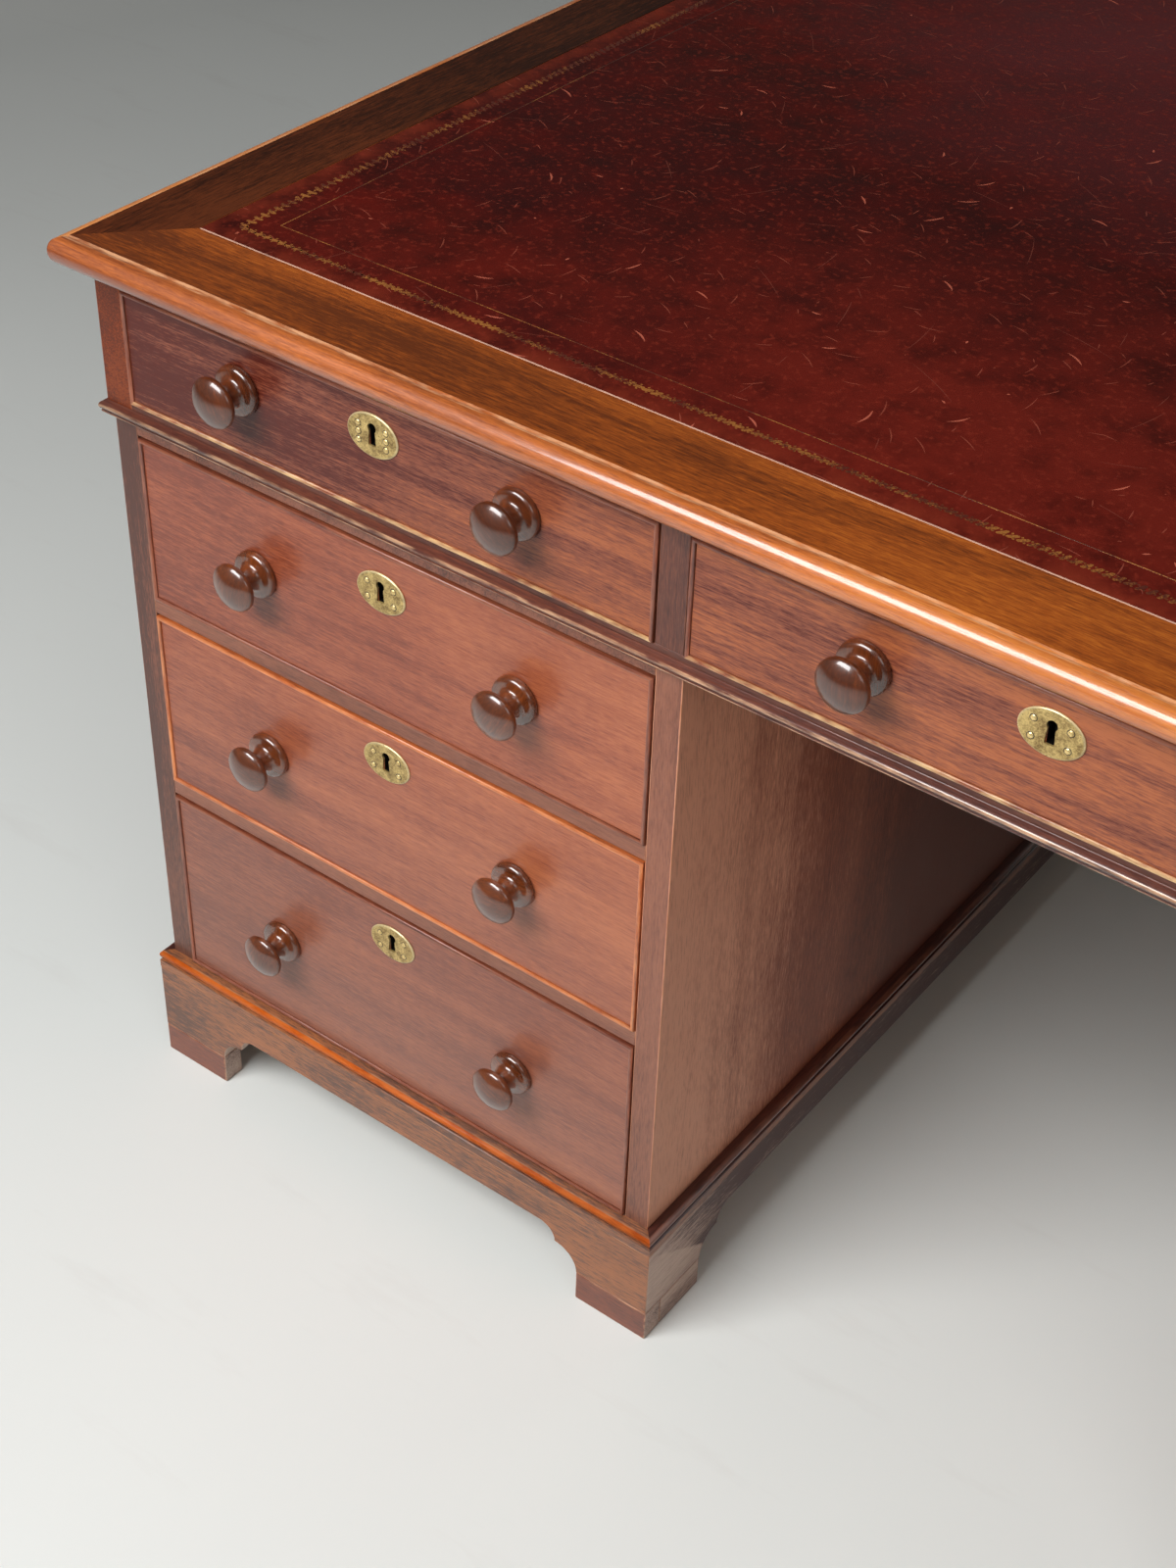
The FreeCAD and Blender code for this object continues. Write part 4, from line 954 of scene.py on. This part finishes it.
# Painted light on the edge: the underside of the nose takes the pale worn colour as a painted reflection of
# the floor, and the rims of the quirk as painted highlights.
made = mitred_run(timber, section, border_half, rounding=0.005, worn=(1, 2, 3, 19, 20, 22, 23))
end_border_wood = wood(
    "end border mahogany", (90, 42, 19), (50, 21, 8), (32, 13, 6), (190, 124, 80),
    coat=0.1, specular=0.08, Pores=0.4, Wear=0.8, Rough=0.42,
)
tone = timber.loops.layers.float["tone"]
for face in made:
    low = min(corner.co.z for corner in face.verts)
    middle = face.calc_center_median()
    on_end = abs(middle.x) - opening_half[0] > abs(middle.y) - opening_half[1]
    outward = max(abs(corner.co[axis]) - border_half[axis] for corner in face.verts for axis in (0, 1))
    on_flat = outward < -0.0125 and low > 0.752
    face.material_index = 1 if not on_flat else 2 if on_end else 0
    for loop in face.loops:
        place = loop.vert.co
        to_back, to_right = -2.5 * place.y, 1.7 * place.x
        loop[tone] = -0.25 + to_back if on_end else 0.25 + to_right
woods = [border_wood, nose_wood, end_border_wood]
finished("top_border", timber, woods, "case", "top_mahogany", "top_border_boards")

# ---- Writing leather ----
# A skin of oxblood leather is glued on inside the border. It is scuffed, scratched and marked all
# over, darker where wet has stood on it, with a paler line where its edge has lifted from the wood.


def scratch_marks():
    """Short scratches that lie every way. One cell of a Voronoi pattern holds one of them, or none."""
    inputs = {"Cells": 20.0, "Length": 0.3, "Breadth": 0.03, "Share": 0.5, "Curl": 0.5}
    group, given, result = shader_group("scratch marks", inputs, {"Mask": "NodeSocketFloat"})
    place = place_in(group)
    place = fed(group, "ShaderNodeVectorMath", {0: place, 3: given["Cells"]}, operation="SCALE")
    place = stretched(group, place, (1.0, 1.0, 0.0))
    inputs = {"Vector": place, "Scale": 1.0}
    cell = put(group, "ShaderNodeTexVoronoi", inputs, voronoi_dimensions="2D").outputs
    offset = of_vectors(group, "SUBTRACT", place, cell["Position"])[0]
    chance = put(group, "ShaderNodeSeparateColor", {0: cell["Color"]}).outputs
    turned_place = {"Vector": offset, "Angle": times(group, chance[0], math.pi)}
    turned_place = fed(group, "ShaderNodeVectorRotate", turned_place, rotation_type="Z_AXIS")
    parts = put(group, "ShaderNodeSeparateXYZ", {0: turned_place}).outputs
    along = reckon(group, "DIVIDE", parts[0], times(group, given["Length"], chance[1]))
    bow = times(group, times(group, parts[0], parts[0]), given["Curl"])
    across = reckon(group, "ABSOLUTE", plus(group, parts[1], bow))
    taper = minus(group, 1.0, times(group, along, along))
    mark = reckon(group, "LESS_THAN", across, times(group, taper, given["Breadth"]))
    mark = times(group, mark, reckon(group, "LESS_THAN", chance[2], given["Share"]))
    group.links.new(mark, result["Mask"])
    return group


SCRATCHES = scratch_marks()


def scratched(tree, cells, length, breadth, share, curl):
    """Scratches of one kind. There are as many cells in a metre as cells says."""
    amounts = {"Cells": cells, "Length": length, "Breadth": breadth, "Share": share, "Curl": curl}
    return put(tree, "ShaderNodeGroup", amounts, node_tree=SCRATCHES).outputs["Mask"]


def patch(tree, place, middle, ragged, reach, most, lay=(1.0, 1.0, 1.0)):
    """How strong a patch is: most near its middle, and nothing past its reach. Ragged moves its edge."""
    away = of_vectors(tree, "LENGTH", stretched(tree, of_vectors(tree, "SUBTRACT", place, middle)[0], lay))
    near, far = reach
    return between(tree, plus(tree, away["Value"], ragged), near, far, most, 0.0)


def leather_finish():
    material, tree = new_finish("oxblood leather")
    place = place_in(tree)
    mottle = cloud(tree, place, 26.0, 4.0, 0.62)
    stains = cloud(tree, place, (3.2, 4.4, 3.2), 3.0, 0.55)
    speck = cloud(tree, place, 190.0, 3.0, 0.7)
    ragged = between(tree, stains, 0.3, 0.7, -0.1, 0.1)
    more_ragged = between(tree, stains, 0.3, 0.7, -0.12, 0.12)
    worn = patch(tree, place, (-0.12, -0.42, 0.77), more_ragged, (0.12, 0.55), 0.85, (1.0, 1.7, 0.0))
    parts = put(tree, "ShaderNodeSeparateXYZ", {0: place}).outputs
    to_end = minus(tree, opening_half[0], reckon(tree, "ABSOLUTE", parts[0]))
    to_side = minus(tree, opening_half[1], reckon(tree, "ABSOLUTE", parts[1]))
    to_edge = reckon(tree, "MINIMUM", to_end, to_side)
    rubbed = between(tree, to_edge, 0.006, 0.022, 0.5, 0.0)
    lifted = reckon(tree, "LESS_THAN", to_side, 0.0013)
    hairs = scratched(tree, 19.0, 0.6, 0.006, 0.45, 0.12)
    ticks = scratched(tree, 46.0, 0.5, 0.02, 0.42, 0.25)
    scuffs = scratched(tree, 26.0, 0.26, 0.02, 0.22, 0.8)
    colour = mixed(tree, between(tree, mottle, 0.34, 0.66), shade(49, 7, 4), shade(83, 14, 7))
    for share, tint in (
        (between(tree, stains, 0.5, 0.66, 0.0, 0.5), (46, 11, 12)),
        (patch(tree, place, (-0.3, -0.16, 0.77), ragged, (0.05, 0.36), 0.55), (46, 9, 9)),
        # Painted reflection: a pale pinkish haze towards the back of the leather.
        (patch(tree, place, (-0.2, 0.45, 0.77), ragged, (0.1, 0.55), 0.9), (90, 36, 39)),
        (times(tree, worn, between(tree, mottle, 0.32, 0.56, 0.35, 1.0)), (104, 28, 18)),
        (times(tree, rubbed, between(tree, mottle, 0.35, 0.6)), (124, 48, 28)),
        (between(tree, speck, 0.54, 0.7, 0.0, 0.6), (124, 42, 28)),
        (times(tree, hairs, 0.4), (136, 72, 58)),
        (times(tree, ticks, 0.5), (158, 80, 62)),
        (times(tree, scuffs, 0.75), (190, 100, 78)),
        (times(tree, lifted, between(tree, mottle, 0.3, 0.5, 0.55, 0.9)), (206, 164, 144)),
    ):
        colour = mixed(tree, share, colour, shade(*tint))
    marks = reckon(tree, "MAXIMUM", reckon(tree, "MAXIMUM", ticks, scuffs), times(tree, hairs, 0.5))
    pebble = put(tree, "ShaderNodeTexVoronoi", {"Vector": place, "Scale": 780.0}).outputs["Distance"]
    swell = cloud(tree, place, 14.0, 2.0)
    height = plus(tree, times(tree, pebble, 0.12), times(tree, swell, 3.0))
    height = minus(tree, height, times(tree, marks, 0.25))
    relief = put(tree, "ShaderNodeBump", {"Strength": 0.5, "Distance": 0.0006, "Height": height})
    rough = plus(tree, between(tree, mottle, 0.3, 0.7, 0.36, 0.46), times(tree, marks, 0.12))
    surface = {"Base Color": colour, "Roughness": rough, "Normal": relief.outputs[0]}
    return end_finish(material, {**surface, "Specular IOR Level": 0.1})


def skin(half_x, half_y, levels):
    """A thin sheet with rounded edges. Each level is how far in from the edge it is, and its height."""
    shape = blank()
    rings = []
    for inset, height in levels:
        half = (half_x - inset, half_y - inset)
        rings.append([shape.verts.new((su * half[0], sv * half[1], height)) for su, sv in CORNERS])
    for lower, upper in zip(rings, rings[1:]):
        band(shape, lower, upper)
    shape.faces.new(rings[0])
    shape.faces.new(rings[-1])
    bmesh.ops.recalc_face_normals(shape, faces=list(shape.faces))
    return shape


leather = leather_finish()
hide = skin(*opening_half, ((0, 0.7712), (0, 0.7725), (0.0004, 0.7728)))
finished("leather_skin", hide, [leather], "case", "leather", "writing_leather")

# ---- Gilt tooling ----
# A roll of small leaf sprays and a single line are pressed into the leather in gold leaf, a finger's
# width inside its edge. The gold is thin, and worn away in long patches.


def gilt_finish():
    material, tree = new_finish("worn gilding")
    place = place_in(tree)
    patches = cloud(tree, place, 22.0, 4.0, 0.65)
    grains = cloud(tree, place, 900.0, 2.0, 0.7)
    left = plus(tree, between(tree, patches, 0.4, 0.66, 0.0, 0.9), between(tree, grains, 0.3, 0.7, -0.5, 0.5))
    depth = put(tree, "ShaderNodeSeparateXYZ", {0: place}).outputs[1]
    left = minus(tree, left, between(tree, depth, -0.4, 0.1, 0.0, 0.3))
    left = between(tree, left, 0.15, 0.75)
    colour = mixed(tree, left, shade(78, 27, 15), shade(168, 106, 47))
    surface = {"Base Color": colour, "Metallic": between(tree, left, 0.0, 1.0, 0.0, 0.25), "Roughness": 0.42}
    return end_finish(material, surface)


def scroll_shape():
    """One scroll of the roll, 7 mm wide: a slanting leaf between two berries."""
    shape = blank()
    leaf = [(-3.1, -3.0), (-1.2, -3.4), (0.6, -1.9), (2.4, -0.1), (3.3, 2.2)]
    leaf += [(2.7, 3.4), (1.0, 3.0), (-0.5, 1.4), (-2.1, -0.4), (-3.4, -1.7)]
    berry = [(-2.9, 2.0), (-1.9, 3.1), (-0.9, 2.1), (-1.9, 1.0)]
    turned_berry = [(-x, -y) for x, y in berry]
    for outline in (leaf, berry, turned_berry):
        rows = [[shape.verts.new((x / 1000, y / 1000, z)) for x, y in outline] for z in (-0.00002, 0.00008)]
        for row in rows:
            shape.faces.new(row)
        band(shape, *rows)
    bmesh.ops.recalc_face_normals(shape, faces=list(shape.faces))
    return shape


def roll_tree():
    sizes = {"Width": 1.354, "Depth": 0.890, "Height": 0.7728, "Pitch": 0.0068, "Seed": 4}
    tree, given, result = node_tree("gilt roll", sizes)
    path = {"Width": given["Width"], "Height": given["Depth"]}
    path = fed(tree, "GeometryNodeCurvePrimitiveQuadrilateral", path)
    rise = fed(tree, "ShaderNodeCombineXYZ", {2: given["Height"]})
    path = fed(tree, "GeometryNodeTransform", {"Geometry": path, "Translation": rise})
    dotted = {"Curve": path, "Length": given["Pitch"]}
    dotted = put(tree, "GeometryNodeCurveToPoints", dotted, mode="LENGTH").outputs
    turn = fed(tree, "FunctionNodeAlignRotationToVector", {"Vector": dotted["Tangent"]}, axis="X")
    slips = {"Min": (0.0, 0.0, -0.3), "Max": (0.0, 0.0, 0.3), "Seed": given["Seed"]}
    slip = fed(tree, "FunctionNodeRandomValue", slips, data_type="FLOAT_VECTOR")
    turns = {"Rotation": turn, "Rotate By": slip}
    turn = fed(tree, "FunctionNodeRotateRotation", turns, rotation_space="LOCAL")
    set_out(tree, given, result, dotted["Points"], turn)
    return tree


gilding = gilt_finish()
tooling = blank()
tooling.from_mesh(grown(roll_tree(), scroll_shape(), gilding))
line = [(-0.45, 772.76), (0.45, 772.76), (0.45, 772.86), (-0.45, 772.86)]
mitred_run(tooling, section_of(line), (0.658, 0.426))
finished("gilt_tooling", tooling, [gilding], "case", "leather")

# ---- Floor, lights and camera ----
# A pale floor turns to the tone of the room far away. One large soft light stands in front of the desk
# and above it, with two weak ones beside it and one low behind, and the camera looks down on a corner.


def floor_finish():
    material, tree = new_finish("pale floor")
    place = place_in(tree)
    broad = cloud(tree, place, 1.3, 3.0, 0.5)
    scuffs = cloud(tree, place, (3.0, 14.0, 3.0), 5.0, 0.7)
    colour = mixed(tree, between(tree, broad, 0.3, 0.7), shade(226, 229, 226), shade(230, 233, 230))
    colour = mixed(tree, between(tree, scuffs, 0.58, 0.72, 0.0, 0.25), colour, shade(214, 213, 209))
    away = of_vectors(tree, "LENGTH", place)["Value"]
    seen = put(tree, "ShaderNodeLightPath").outputs["Is Camera Ray"]
    glow = times(tree, between(tree, away, 2.7, 4.9), seen)
    glow = mixed(tree, glow, (0.0, 0.0, 0.0, 1.0), (0.24, 0.228, 0.211, 1.0))
    colour = mixed(tree, between(tree, away, 3.5, 8.0), colour, (0.0, 0.0, 0.0, 1.0))
    surface = {"Base Color": colour, "Roughness": 0.6, "Emission Color": glow, "Emission Strength": 1.0}
    return end_finish(material, surface)


ground = bmesh.new()
below_feet = Matrix.Translation((0, 0, -0.0003))
bmesh.ops.create_grid(ground, x_segments=4, y_segments=4, size=12.0, matrix=below_feet)
mesh = mesh_of("floor", ground)
mesh.materials.append(floor_finish())
placed("floor", mesh)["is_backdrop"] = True


def soft_light(name, place, target, width, height, power, colour=(1.0, 1.0, 1.0)):
    data = bpy.data.lights.new(name, "AREA")
    data.shape = "RECTANGLE"
    data.size, data.size_y, data.energy, data.color = width, height, power, colour
    lamp = placed(name, data)
    lamp.matrix_world = (Vector(place) - Vector(target)).to_track_quat("Z", "Y").to_matrix().to_4x4()
    lamp.location = place
    lamp.visible_camera = False


soft_light("main_light", (-0.9, -2.3, 2.4), (-0.3, -0.45, 0.4), 1.8, 1.3, 94)
soft_light("top_light", (0.5, -1.3, 3.0), (0.2, -0.45, 0.4), 1.2, 1.2, 7)
soft_light("side_light", (1.6, -1.9, 1.9), (0.0, -0.3, 0.3), 1.2, 1.2, 7)
warm = (1.0, 0.95, 0.88)
soft_light("rear_light", (0.5, 3.4, 1.15), (0.0, 0.5, 0.4), 1.6, 1.0, 12, warm)
world = bpy.data.worlds.new("room")
world.use_nodes = True
tree = world.node_tree
rays = put(tree, "ShaderNodeLightPath").outputs
seen = reckon(tree, "MAXIMUM", rays["Is Camera Ray"], rays["Is Transmission Ray"])
way = put(tree, "ShaderNodeSeparateXYZ", {0: put(tree, "ShaderNodeTexCoord").outputs["Generated"]}).outputs[2]
walls = times(tree, rays["Is Glossy Ray"], between(tree, way, 0.3, 0.56, 0.12, 0.02))
strength = plus(tree, between(tree, seen, 0.0, 1.0, 0.035, 0.24), walls)
background = tree.nodes["Background"]
background.inputs["Color"].default_value = (*warm, 1.0)
tree.links.new(strength, background.inputs["Strength"])
scene = bpy.context.scene
scene.world = world
scene.view_settings.view_transform = "Standard"

view = bpy.data.cameras.new("camera")
view.sensor_fit, view.sensor_width, view.lens = "AUTO", 36.0, 54.763
view.shift_x, view.shift_y = -0.02794, 0.00625
camera = placed("camera", view)
right, up = Vector((0.80496, 0.59205, 0.03896)), Vector((-0.39849, 0.49080, 0.77480))
back = right.cross(up).normalized()
camera.matrix_world = Matrix((right, back.cross(right), back)).transposed().to_4x4()
camera.location = (0.40585, -1.51627, 1.50960)
scene.camera = camera

bpy.context.view_layer.update()
low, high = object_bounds()
